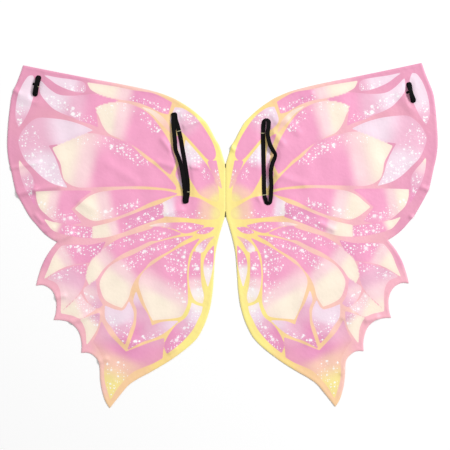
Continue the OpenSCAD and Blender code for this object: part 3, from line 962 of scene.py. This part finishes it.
def satin_material(colours):
    """Satin with the petal print, its dots, a fine weave and a soft lustre."""
    shade = Shade("printed_satin")
    cloth, across, along = along_cloth(shade)
    depth = shade.stored("petal_depth")
    amount = shade.stored("sparkle")
    petal = shade.stored("petal_tint", "Color").socket
    vein = shade.stored("vein_tint", "Color").socket
    grain = shade.noise(cloth, 0.8)
    drift = shade.noise(cloth, 0.03, 3.0)

    inside = (depth + 1.2 + (grain - 0.5) * 0.5).rise(-0.5, 0.5)
    brushed = shade.mix((1.0 - depth.rise(0.0, 9.0)) * 0.22, petal, solid(colour_of("F3A6CC")), "MULTIPLY")
    shaded_petal = shade.mix(0.35, petal, brushed)
    printed = shade.mix(inside, vein, shaded_petal)
    printed = shade.mix(drift * 0.16, printed, solid(colour_of("F2DCE8")), "MULTIPLY")

    amount = amount * (0.75 + 0.5 * drift)
    open_field = depth.rise(-0.8, 0.4)
    large_dots = (amount - 0.15) * 0.9
    dust = printed_dots(shade, cloth, amount * 0.55, spacing=4.6, small=0.5, large=1.2, soft=0.2)
    beads = printed_dots(shade, cloth, amount * 0.75, spacing=7.6, small=1.1, large=2.5, soft=0.3)
    stars = printed_dots(shade, cloth, large_dots, spacing=15.0, small=1.9, large=4.4, soft=0.45)
    glow = printed_dots(shade, cloth, large_dots, spacing=15.0, small=3.0, large=7.0, soft=3.0) * 0.3
    dots = dust.at_least(beads).at_least(stars).at_least(glow) * open_field
    printed = shade.mix(dots, printed, solid(colours.sparkle))

    twill = ((across + along) * 8.0).sine() * ((across - along * 0.4) * 5.0).sine()
    wrinkle = shade.noise(cloth, 0.11, 3.0)
    rough = 0.47 + 0.05 * twill + (wrinkle - 0.5) * 0.12
    normal = shade.bump(wrinkle, 0.0006)
    normal = shade.bump(twill * 0.5 + 0.5, 0.00002, normal)
    return shade.surface(
        Base_Color=printed, Roughness=rough, Normal=normal, Specular_IOR_Level=0.35,
        Sheen_Weight=0.12, Sheen_Roughness=0.4,
    )


def elastic_material(elastic):
    """Black knitted elastic with ribs along it and small stitches across them."""
    shade = Shade("black_elastic")
    cloth, across, along = along_cloth(shade)
    rib = abs((across * (elastic.ribs / elastic.width)).fraction() - 0.5)
    knit = ((along + rib * 1.1) * (2.0 * math.pi / 1.15)).sine() * 0.5 + 0.5
    worn = shade.noise(cloth, 0.35, 3.0)
    thread = solid(elastic.black)
    light = solid(tuple(c * 2.2 + 0.001 for c in elastic.black))
    colour = shade.mix(knit * 0.5 * (0.4 + rib), thread, light)
    colour = shade.mix((worn - 0.35).at_least(0.0) * 0.4, colour, light)
    normal = shade.bump(knit * (1.0 - rib), 0.00012)
    return shade.surface(
        Base_Color=colour, Roughness=0.62 + 0.2 * (1.0 - knit), Normal=normal,
        Specular_IOR_Level=0.12, Sheen_Weight=0.01, Sheen_Roughness=0.5,
    )


def thread_material(name, colour):
    """Twisted sewing thread, with painted shade darkening the grooves of its twist."""
    shade = Shade(name)
    _, around, along = along_cloth(shade)
    twist = (along * (2.0 * math.pi / 0.8) + around * 2.0).sine() * 0.5 + 0.5
    # painted shade: the colour drops to 62 % where the twist sinks into its grooves
    twist_groove_shade = solid(tuple(c * 0.62 for c in colour))
    shown = shade.mix(twist * 0.8, twist_groove_shade, solid(colour))
    return shade.surface(
        Base_Color=shown, Roughness=0.5 + 0.15 * twist, Normal=shade.bump(twist, 0.00006),
        Specular_IOR_Level=0.4,
    )


# --- Elastic bands and threads --------------------------------------------------------------


class Heap:
    """Points, faces and mesh values gathered from several closed shapes."""

    def __init__(self):
        self.points = []
        self.faces = []
        self.values = []

    def add(self, points, faces, values):
        """Adds one closed shape."""
        start = len(self.points)
        self.points.extend(points)
        self.values.extend(values)
        self.faces.extend([start + i for i in face] for face in faces)

    def piece(self, name, material, sharp=None):
        """The gathered shapes as one mesh object."""
        return new_piece(name, self.points, self.faces, material, {"cloth": self.values}, sharp)


def tube_faces(rings, sides):
    """Faces of a closed sleeve of rings, whose two ends each close on a middle point."""
    faces = []
    for i in range(rings - 1):
        for j in range(sides):
            a = i * sides + j
            b = i * sides + (j + 1) % sides
            faces.append((a, a + sides, b + sides, b))
    start = rings * sides
    last = (rings - 1) * sides
    for j in range(sides):
        k = (j + 1) % sides
        faces.append((start, j, k))
        faces.append((start + 1, last + k, last + j))
    return faces


def unit_rows(rows):
    """Rows scaled to length 1."""
    return rows / np.maximum(np.linalg.norm(rows, axis=1), 1e-9)[:, None]


THREAD_SIDES = 6


def add_thread(heap, path, radius, upright, stitch=0.0):
    """Adds a thread along a path, with rounded ends and a swelling at each stitch."""
    path = np.asarray(path, float)
    along = lengths_along(path)
    tangent = unit_rows(np.gradient(path, axis=0))
    side = unit_rows(np.cross(tangent, np.asarray(upright, float)))
    normal = np.cross(side, tangent)
    swell = np.full(len(path), radius)
    if stitch:
        swell = radius * (0.72 + 0.28 * np.abs(np.sin(along * math.pi / stitch)))
    swell[[0, -1]] *= 0.55
    points = []
    values = []
    for i in range(len(path)):
        for j in range(THREAD_SIDES):
            turn = 2.0 * math.pi * j / THREAD_SIDES
            points.append(path[i] + swell[i] * (side[i] * math.cos(turn) + normal[i] * math.sin(turn)))
            values.append((turn, along[i], 0.0))
    points += [path[0] - tangent[0] * radius * 0.5, path[-1] + tangent[-1] * radius * 0.5]
    values += [(0.0, along[0], 0.0), (0.0, along[-1], 0.0)]
    heap.add(points, tube_faces(len(path), THREAD_SIDES), values)


class BandLine:
    """Middle line of a flat band, with the directions across it and out of its face."""

    def __init__(self, points, across, normal):
        self.points = points
        self.along = lengths_along(points)
        self.across = across
        self.normal = normal

    def section(self, elastic, squeeze):
        """Half width and ribbed height of the band's cross-section, all the way round."""
        half = elastic.width / 2.0
        thick = elastic.thickness / 2.0
        steps = elastic.ribs * 4
        places = np.linspace(-1.0, 1.0, steps + 1)
        nose = np.sqrt(np.clip(1.0 - ((np.abs(places) * half - half + thick) / thick).clip(0) ** 2, 0, 1))
        groove = elastic.rib_depth * np.abs(np.cos(math.pi * (places + 1.0) / 2.0 * elastic.ribs)) ** 3
        high = thick * nose - groove * (nose > 0.95)
        top = [(places[i] * half * squeeze, high[i]) for i in range(steps, -1, -1)]
        low = [(places[i] * half * squeeze, -high[i]) for i in range(1, steps)]
        return top + low

    def add_to(self, heap, elastic, first, last, squeeze):
        """Adds the stretch of band between two points of the line, narrowed by a share at each."""
        points = []
        values = []
        for i in range(first, last + 1):
            ring = self.section(elastic, squeeze[i])
            for a, b in ring:
                points.append(self.points[i] + a * self.across[i] + b * self.normal[i])
                values.append((a, self.along[i], 0.0))
        points += [self.points[first], self.points[last]]
        values += [(0.0, self.along[first], 0.0), (0.0, self.along[last], 0.0)]
        heap.add(points, tube_faces(last + 1 - first, len(ring)), values)


class ElasticLoop:
    """One loop of elastic: the lower run sewn to the cloth and the free run over it."""

    def __init__(self, name, wing, foot, lean, length, drawn, routes, tacks, rolls, tail, ends):
        self.name = name
        self.wing = wing
        self.foot = np.array(foot, float)
        self.lean = math.radians(lean)
        self.length = length
        self.drawn = drawn
        self.routes = routes
        self.tacks = tacks
        self.rolls = rolls
        self.tail = tail
        self.ends = ends

    def shape(self, elastic):
        """Works out the middle lines of both runs."""
        self.sewn_level = CLOTH_TOP + elastic.thickness / 2.0
        self.free_level = node_box(self.name + "_free_run")[0][2] + elastic.thickness / 2.0
        self.lower = self._line(self.routes[0], -1.0, elastic)
        self.upper = self._line(self.routes[1], 1.0, elastic)

    def _line(self, route, rising, elastic):
        """Turn, run and turn again, as one line in the wings' own frame."""
        dense = smooth_route([tuple(p) + (0.0,) * (3 - len(p)) for p in route], 10)
        dense[:, 1] *= self.length / self.drawn
        level = self.sewn_level if rising < 0 else self.free_level
        run = np.column_stack([dense[:, 0], dense[:, 1], level + dense[:, 2] * elastic.arch])
        step = 1.7
        passes = 4
        for (centre, spread, _), gap in zip(self.ends, (run[:, 1], self.length - run[:, 1])):
            near = 1.0 - smoothstep(gap, 2.0, 20.0)
            run[:, 0] += near * (centre - rising * spread - run[:, 0])
        low = self._turn(self.ends[0], rising, elastic)
        high = self._turn(self.ends[1], rising, elastic)[::-1]
        high[:, 1] = self.length - high[:, 1]
        run = run[(run[:, 1] > low[-1, 1] + 1.0) & (run[:, 1] < high[0, 1] - 1.0)]
        points = np.vstack([low, even_steps(run, step), high])
        for _ in range(passes):
            points[6:-6] = (points[5:-7] + 2.0 * points[6:-6] + points[7:-5]) / 4.0
        return self._band_line(points, rising, elastic)

    def _turn(self, end, rising, elastic):
        """Half of the turn at one end, from its outermost point to where the run starts."""
        centre, spread, tilt = end
        middle = (self.sewn_level + self.free_level) / 2.0
        bend = (self.free_level - self.sewn_level) / 2.0
        inset = -elastic.thickness / 2.0
        depth = bend
        if tilt:
            inset = elastic.width / 2.0 * math.cos(math.radians(tilt))
            depth = abs(spread)
        turns = np.linspace(0.0, math.pi / 2.0, 7)[:, None]
        flat = np.hstack([centre - rising * spread * np.sin(turns), inset + depth * (1 - np.cos(turns))])
        return np.hstack([flat, middle + rising * bend * np.sin(turns)])

    def _band_line(self, points, rising, elastic):
        """The line with the direction across the band, its tilt at the ends and its narrowing."""
        flat = unit_rows(np.gradient(points, axis=0)[:, :2] + (0.0, 1e-6))
        across = np.column_stack([flat[:, 1], -flat[:, 0]])
        half = elastic.width / 2.0
        tilt = np.zeros(len(points))
        pinch = np.ones(len(points))
        tangent = unit_rows(np.gradient(points, axis=0))
        for (_, _, degrees), gap in zip(self.ends, (points[:, 1], self.length - points[:, 1])):
            if degrees:
                tilt += math.radians(degrees) * (1.0 - smoothstep(gap, 6.0, 24.0))
                continue
            share = smoothstep(gap, 2.0, 11.0)[:, None]
            across = unit_rows((1.0 - share) * (1.0, 0.0) + share * across)
            tangent[:, :1] *= share
            rounded = np.clip((gap + 1.4) / (half * 1.3), 0.05, 1.0)
            pinch *= np.sqrt(1.0 - (1.0 - rounded) ** 2)
        across = np.column_stack([across, np.zeros(len(across))])
        floor = CLOTH_TOP + 0.1 + elastic.thickness / 2.0 + half * np.sin(tilt)
        points[:, 2] = np.maximum(points[:, 2], floor * (tilt > 0.0))
        roll = -rising * tilt
        if rising > 0:
            for place, reach, degrees in self.rolls:
                roll += math.radians(degrees) * np.exp(-(((points[:, 1] - place) / reach) ** 2))
        normal = unit_rows(np.cross(across, tangent))
        roll = roll[:, None]
        across, normal = (across * np.cos(roll) + normal * np.sin(roll),
                          normal * np.cos(roll) - across * np.sin(roll))
        line = BandLine(self._placed(points), self._turned(across), self._turned(normal))
        line.pinch = pinch
        line.reach = points[:, 1]
        return line

    def _turned(self, rows):
        """Directions turned by the loop's lean."""
        rows = np.array(rows, float)
        x = rows[:, 0] * math.cos(self.lean) - rows[:, 1] * math.sin(self.lean)
        y = rows[:, 0] * math.sin(self.lean) + rows[:, 1] * math.cos(self.lean)
        return np.column_stack([x, y, rows[:, 2]])

    def _placed(self, rows):
        """Points turned by the lean and set on the loop's foot."""
        return self._turned(rows) + (self.foot[0], self.foot[1], 0.0)

    def tack_place(self, along):
        """Point of the sewn run that a thread tack crosses."""
        aim = along * self.length / self.drawn
        return int(np.argmin(np.abs(self.lower.reach - aim)))


# Lean is in degrees, and drawn is the length at which the route was drawn. A roll is its place along
# the loop, its reach and its degrees. An end is its middle across, its spread and its tilt.
LOOPS = {
    "left_shoulder": ElasticLoop(
        "left_shoulder", "left_wing", foot=(-84.5, 76.0), lean=7.95, length=211.0, drawn=200.0,
        routes=(LEFT_SEWN, LEFT_FREE), tacks=(23.0, 159.0),
        rolls=[(62, 20, -9), (122, 18, 14), (160, 16, -8)], tail=1,
        ends=((-0.5, 2.4, 0), (0.9, 2.4, 0)),
    ),
    "right_shoulder": ElasticLoop(
        "right_shoulder", "right_wing", foot=(107.5, 71.0), lean=0.3, length=202.0, drawn=200.0,
        routes=(RIGHT_SEWN, RIGHT_FREE), tacks=(24.0, 166.0),
        rolls=[(60, 22, 10), (116, 9, 38), (150, 18, -10)], tail=-1,
        ends=((-1.5, -5.5, 35), (-4.5, -6.5, 35)),
    ),
    "left_finger": ElasticLoop(
        "left_finger", "left_wing", foot=(-436.0, 325.0), lean=-12.0, length=47.0, drawn=47.0,
        routes=(FINGER_SEWN, FINGER_FREE), tacks=(23.5,), rolls=[(24, 9, 8)], tail=1,
        ends=((0, 1.2, 0), (0, 1.2, 0)),
    ),
    "right_finger": ElasticLoop(
        "right_finger", "right_wing", foot=(444.0, 310.0), lean=15.0, length=47.0, drawn=47.0,
        routes=(FINGER_SEWN, FINGER_FREE), tacks=(23.5,), rolls=[(24, 9, -8)], tail=-1,
        ends=((0, -1.2, 0), (0, -1.2, 0)),
    ),
}


# --- What each piece stands for and rides on -------------------------------------------------


def stand_for(node):
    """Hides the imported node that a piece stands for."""
    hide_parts(node)


def hold_on_wing(piece, side):
    """Fixes cloth or its thread to the right wing's body on the right side, and on the left only bakes its
    place into its mesh.
    """
    if side == "left":
        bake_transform(piece)
    else:
        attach(piece, "right_wing")


def loops_on(side):
    """The two elastic loops of one wing."""
    return [LOOPS[side + "_shoulder"], LOOPS[side + "_finger"]]


# --- Operators ------------------------------------------------------------------------------


class FAIRY_OT_stage(bpy.types.Operator):
    """Pale floor, soft lights and a camera that looks straight down"""

    bl_idname = "fairy_wings.stage"
    bl_label = "Stage"

    def execute(self, context):
        settings = context.scene.fairy_stage
        self.floor(settings)
        self.lights(context, settings)
        self.camera(context, settings)
        return {"FINISHED"}

    def floor(self, settings):
        """A wide pale floor with a faint paper tooth."""
        shade = Shade("paper_floor")
        place = shade.node("ShaderNodeTexCoord", {}, {}).outputs["Object"]
        tooth = shade.noise(place, 900.0)
        cloud = shade.noise(place, 2.0)
        shadow = solid(tuple(c * 0.985 for c in settings.floor))
        colour = shade.mix(cloud * 0.6, solid(settings.floor), shadow)
        material = shade.surface(
            Base_Color=colour, Roughness=0.9, Normal=shade.bump(tooth, 0.00003),
            Specular_IOR_Level=0.1,
        )
        reach = 4000.0
        level = -0.35
        corners = [(x * reach, y * reach, level) for x, y in ((-1, -1), (1, -1), (1, 1), (-1, 1))]
        new_piece("floor", corners, [(0, 1, 2, 3)], material)

    def lights(self, context, settings):
        """Even light from all round, with a large soft light from the upper right."""
        world = bpy.data.worlds.new("studio")
        context.scene.world = world
        world.use_nodes = True
        world.node_tree.nodes["Background"].inputs["Color"].default_value = (1.0, 1.0, 1.0, 1.0)
        world.node_tree.nodes["Background"].inputs["Strength"].default_value = settings.sky
        for name, place, power, size in (
            ("key", (5.6, 3.6, 6.1), settings.key, 3.0),
            ("fill", (-4.2, 4.8, 6.4), settings.key * 0.18, 4.0),
        ):
            light = bpy.data.lights.new(name, "AREA")
            light.energy = power
            light.size = size
            lamp = bpy.data.objects.new(name, light)
            lamp.location = place
            lamp.rotation_euler = (-Vector(place)).to_track_quat("-Z", "Y").to_euler()
            context.scene.collection.objects.link(lamp)

    def camera(self, context, settings):
        """A camera straight above the middle of the wings."""
        data = bpy.data.cameras.new("camera")
        data.sensor_width = 36.0
        data.lens = data.sensor_width * settings.height / settings.field
        data.clip_end = 50.0
        eye = bpy.data.objects.new("camera", data)
        aim = (0.0058, 0.0249)
        eye.location = (*aim, settings.height)
        context.scene.collection.objects.link(eye)
        context.scene.camera = eye
        context.scene.view_settings.view_transform = "Standard"


class FAIRY_OT_satin(bpy.types.Operator):
    """The four printed satin layers, two for each wing"""

    bl_idname = "fairy_wings.satin"
    bl_label = "Satin Layers"

    def execute(self, context):
        satin = context.scene.fairy_satin
        flat = FlatWing(satin, context.scene.fairy_print)
        material = satin_material(context.scene.fairy_print)
        for side in ("left", "right"):
            for layer in ("outer", "inner"):
                self.layer(context, flat, side, layer, material)
        return {"FINISHED"}

    def layer(self, context, flat, side, layer, material):
        """One closed sheet of satin with a rounded edge."""
        satin = context.scene.fairy_satin
        mirrored = side == "left"
        laid = as_laid(flat.points, mirrored, satin)
        rim = as_laid(flat.outline, mirrored, satin)
        rise = cloth_rise(laid, flat.gap, mirrored, satin, loops_on(side))
        hem = hem_bump(flat.gap, satin)
        edge_round = 0.14
        clear = 0.02
        round_off = edge_round * (1.0 - smoothstep(flat.gap, 0.3, 1.3))
        if layer == "inner":
            top = CLOTH_TOP - 0.03 + rise + hem - round_off
            low = LAYER + clear + rise
        else:
            rise = rise * (1.0 - 0.5 * smoothstep(flat.gap, 4.0, 25.0))
            top = LAYER - clear + rise
            low = clear + rise + 0.5 * (satin.hem_rise - hem).clip(0.0, None) + round_off
        count = len(laid)
        ring = flat.ring
        middle = (top[ring] + low[ring]) / 2.0
        points = np.vstack([
            np.column_stack([laid, top]), np.column_stack([laid, low]),
            np.column_stack([rim, middle]),
        ])
        faces, below = self.faces(flat, count, mirrored)
        twice = np.concatenate([np.arange(count), np.arange(count), ring])
        seen = np.vstack([flat.points, flat.points, flat.outline])
        values = {
            "cloth": np.column_stack([seen, np.zeros(len(seen))]),
            "petal_depth": flat.depth[twice],
            "sparkle": flat.sparkle[twice],
            "petal_tint": with_alpha(flat.petal_tint[twice]),
            "vein_tint": with_alpha(flat.vein_tint[twice]),
        }
        piece = new_piece(f"{side}_{layer}_satin", points, faces, material, values)
        self.open_out(piece.data, seen, below, layer == "inner")
        stand_for(f"{side}_{layer}_panel")
        hold_on_wing(piece, side)

    def faces(self, flat, count, mirrored):
        """Top, underside and edge of the sheet, and which faces belong to the underside."""
        triangles = flat.triangles
        turned = triangles[:, ::-1]
        edge = len(flat.ring)
        ring = flat.ring
        over = []
        under = []
        for i in range(edge):
            j = (i + 1) % edge
            over.append([ring[i], ring[j], 2 * count + j, 2 * count + i])
            under.append([2 * count + i, 2 * count + j, count + ring[j], count + ring[i]])
        faces = [list(map(int, f)) for f in np.vstack([triangles, turned + count])]
        faces += [list(map(int, f)) for f in over + under]
        below = [False] * len(triangles) + [True] * len(triangles)
        below += [False] * edge + [True] * edge
        if mirrored:
            faces = [face[::-1] for face in faces]
        return faces, below

    def open_out(self, mesh, seen, below, top_shows):
        """Maps the side that shows at full size and the hidden side small beside it."""
        high = WING_HIGH[1] - WING_LOW[1]
        width = WING_HIGH[0] / high
        u = seen[:, 0] / high
        v = (seen[:, 1] - WING_LOW[1]) / high
        spread = (0.98 - width) / width
        places = []
        for polygon, is_below in zip(mesh.polygons, below):
            small = is_below == top_shows
            for vertex in polygon.vertices:
                if small:
                    places.append((width + 0.01 + u[vertex] * spread, v[vertex] * spread))
                else:
                    places.append((u[vertex], v[vertex]))
        lay_bake_map(mesh, places)


class FAIRY_OT_stitching(bpy.types.Operator):
    """Closing stitches round each wing, the centre seam and its two bar tacks"""

    bl_idname = "fairy_wings.stitching"
    bl_label = "Stitching"

    def execute(self, context):
        thread = context.scene.fairy_thread
        satin = context.scene.fairy_satin
        pale = thread_material("pale_thread", thread.pale)
        dark = thread_material("dark_thread", thread.dark)
        for side in ("left", "right"):
            self.closing_stitches(side, satin, thread, pale)
        middle = satin.lay_shift
        seam = Heap()
        stitch = 2.5
        pitch = 2.7
        for y in np.arange(SEAM_LOW[1], SEAM_HIGH[1] - 2.0, pitch):
            path = [(middle, y + s, 0.85 + 0.1 * math.sin(math.pi * s / stitch))
                    for s in np.linspace(0.0, stitch, 6)]
            add_thread(seam, path, thread.thickness / 2.0, (0, 0, 1))
        piece = seam.piece("centre_seam_stitches", pale)
        self.on_right_wing(piece, "pale_thread", "centre_seam_thread")
        start = TOP_TACK_LOW[1] + 3.0
        end = TOP_TACK_HIGH[1] + 3.0
        top = self.bar_tack(middle, start, end, thread, first_half=1.1, last_half=1.6)
        piece = top.piece("top_bar_tack", dark)
        self.on_right_wing(piece, "dark_thread", "top_notch_bar_tack")
        # The bottom tack widens into a dark wedge that is its thread and also painted shade in the bottom
        # notch.
        start = BOTTOM_TACK_HIGH[1] - 2.0
        end = BOTTOM_TACK_LOW[1] - 5.0
        low = self.bar_tack(middle, start, end, thread, first_half=1.0, last_half=2.7)
        piece = low.piece("bottom_bar_tack", dark)
        self.on_right_wing(piece, "dark_thread", "bottom_notch_bar_tack")
        return {"FINISHED"}

    def closing_stitches(self, side, satin, thread, material):
        """The row of stitches that closes a wing, between its two layers."""
        mirrored = side == "left"
        inset = 3.2
        outline = closed_outline(wing_runs(), 8, 1.3)
        moved, keep = inset_ring(outline, inset)
        path = moved[keep]
        laid = as_laid(path, mirrored, satin)
        rise = cloth_rise(laid, np.full(len(path), inset), mirrored, satin, loops_on(side))
        heap = Heap()
        line = np.column_stack([laid, LAYER + rise])
        add_thread(heap, line, thread.thickness / 2.0, (0, 0, 1), stitch=2.6)
        piece = heap.piece(f"{side}_closing_stitches", material)
        stand_for(f"{side}_edge_stitching")
        hold_on_wing(piece, side)

    def bar_tack(self, middle, start, end, thread, first_half, last_half):
        """Close threads laid side by side over the end of the seam."""
        heap = Heap()
        count = int(abs(end - start) / (thread.thickness * 0.95))
        for k in range(count + 1):
            share = k / count
            half = first_half + (last_half - first_half) * share
            half *= 1.0 + 0.12 * math.sin(k * 2.3)
            y = start + (end - start) * share
            path = [(middle + half * t, y + 0.15 * math.sin(k * 1.7 + t), 1.12 + 0.42 * (1 - t * t))
                    for t in np.linspace(-1.0, 1.0, 9)]
            add_thread(heap, path, thread.thickness / 2.0, (0, 1, 0))
        return heap

    def on_right_wing(self, piece, slot, node):
        """Fixes a piece of the seam to the right wing."""
        stand_for(node)
        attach(piece, "right_wing")


class FAIRY_OT_loops(bpy.types.Operator):
    """The shoulder loops and finger loops with the threads that hold them"""

    bl_idname = "fairy_wings.loops"
    bl_label = "Elastic Loops"

    def execute(self, context):
        elastic = context.scene.fairy_elastic
        thread = context.scene.fairy_thread
        black = elastic_material(elastic)
        pale = thread_material("tack_thread", thread.pale)
        for loop in LOOPS.values():
            self.sewn_run(loop, elastic, black)
            self.free_run(loop, elastic, black)
            self.tack_threads(loop, elastic, thread, pale)
        return {"FINISHED"}

    def sewn_run(self, loop, elastic, material):
        """The run on the cloth, with the lower half of each end fold."""
        line = loop.lower
        last = len(line.points) - 1
        squeeze = line.pinch.copy()
        for tack in loop.tacks:
            away = (line.along - line.along[loop.tack_place(tack)]) / 2.2
            squeeze -= 0.06 * np.exp(-away * away)
        heap = Heap()
        line.add_to(heap, elastic, 0, last, squeeze)
        if "finger" in loop.name:
            self.cut_end(heap, loop, elastic)
        piece = heap.piece(loop.name + "_sewn_elastic", material, 50)
        stand_for(loop.name + "_sewn_run")
        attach(piece, loop.wing)

    def cut_end(self, heap, loop, elastic):
        """The short cut end that sticks out from under the middle of a finger loop."""
        length = 11.0
        narrowed = 0.55
        middle = len(loop.lower.points) // 2 + 1
        start = loop.lower.points[middle]
        out = -loop.lower.across[middle]
        path = np.array([start + out * s + (0, 0, -0.1 * s / 8.0) for s in np.linspace(0.0, length, 8)])
        up = np.repeat([(0.0, 0.0, 1.0)], len(path), axis=0)
        tab = BandLine(path, np.cross(out, up), up)
        tab.add_to(heap, elastic, 0, len(path) - 1, np.full(len(path), narrowed))

    def free_run(self, loop, elastic, material):
        """The run that lifts, as two halves that meet at its middle."""
        line = loop.upper
        last = len(line.points) - 1
        half = last // 2
        bend_share = 0.62
        reach = int(half * bend_share)
        halves = (
            ("lower", 0, half, line.points[0], line.points[reach]),
            ("upper", half, last, line.points[last], line.points[last - reach]),
        )
        for part, first, final, fixed, loose in halves:
            heap = Heap()
            line.add_to(heap, elastic, first, final, line.pinch)
            piece = heap.piece(f"{loop.name}_free_elastic_{part}", material, 50)
            stand_for(loop.name + "_free_run")
            tuple(fixed * MM)
            tuple(loose * MM)
            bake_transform(piece)

    def tack_threads(self, loop, elastic, thread, material):
        """Three passes of thread over the sewn run, with one loose tail on the cloth."""
        names = ("tack",) if len(loop.tacks) == 1 else ("bottom_tack", "top_tack")
        half = elastic.width / 2.0
        crest = elastic.thickness + 0.12
        # Place across the band and height of each point of a pass.
        rows = [(-half - 1.4, 0.1), (-half - 0.7, 0.3), (-half - 0.15, 0.8), (-half + 0.35, crest),
                (-half * 0.5, crest + 0.04), (0.0, crest + 0.06), (half * 0.5, crest + 0.04),
                (half - 0.35, crest), (half + 0.15, 0.8), (half + 0.7, 0.3), (half + 1.4, 0.1)]
        for name, tack in zip(names, loop.tacks):
            i = loop.tack_place(tack)
            line = loop.lower
            ahead = np.cross(line.normal[i], line.across[i])
            base = line.points[i] * (1, 1, 0) + (0, 0, CLOTH_TOP)
            heap = Heap()
            for k in (-1, 0, 1):
                path = [base + line.across[i] * a + ahead * (k * 0.45 + 0.02 * a * k)
                        + np.array((0, 0, b)) for a, b in rows]
                if k == 0 and len(loop.tacks) > 1:
                    tail = [(half + 2.6, 0.12), (half + 4.4, 0.14), (half + 6.2, 0.12)]
                    side = loop.tail
                    more = [base + line.across[i] * a * side + ahead * 0.25 * (a - half)
                            + np.array((0, 0, b)) for a, b in tail]
                    path = path + more if side > 0 else more[::-1] + path
                add_thread(heap, path, thread.thickness / 2.0, ahead)
            piece = heap.piece(f"{loop.name}_{name}_threads", material)
            stand_for(f"{loop.name}_{name}")
            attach(piece, loop.wing)


class FAIRY_PT_wings(bpy.types.Panel):
    """Lists the wings' settings and the steps that make them"""

    bl_label = "Fairy Wings"
    bl_idname = "FAIRY_PT_wings"
    bl_space_type = "VIEW_3D"
    bl_region_type = "UI"
    bl_category = "Fairy Wings"

    def draw(self, context):
        for group, operator in zip(SETTINGS, OPERATORS[:1] + OPERATORS[1:2] * 2 + OPERATORS[2:]):
            box = self.layout.box()
            settings = getattr(context.scene, group)
            for key in settings.__annotations__:
                box.prop(settings, key)
            box.operator(operator.bl_idname)


OPERATORS = (FAIRY_OT_stage, FAIRY_OT_satin, FAIRY_OT_stitching, FAIRY_OT_loops)
SETTINGS = {
    "fairy_stage": StageSettings,
    "fairy_satin": SatinSettings,
    "fairy_print": PrintSettings,
    "fairy_thread": ThreadSettings,
    "fairy_elastic": ElasticSettings,
}
CLASSES = (*SETTINGS.values(), *OPERATORS, FAIRY_PT_wings)


def register():
    """Adds the classes and their settings to Blender."""
    for cls in CLASSES:
        bpy.utils.register_class(cls)
    for name, group in SETTINGS.items():
        setattr(bpy.types.Scene, name, bpy.props.PointerProperty(type=group))


def unregister():
    """Takes the classes and their settings out of Blender."""
    for name in SETTINGS:
        delattr(bpy.types.Scene, name)
    for cls in reversed(CLASSES):
        bpy.utils.unregister_class(cls)


def main():
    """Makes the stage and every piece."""
    register()
    for loop in LOOPS.values():
        loop.shape(bpy.context.scene.fairy_elastic)
    bpy.ops.fairy_wings.stage()
    bpy.ops.fairy_wings.satin()
    bpy.ops.fairy_wings.stitching()
    bpy.ops.fairy_wings.loops()


if __name__ == "__main__":
    main()
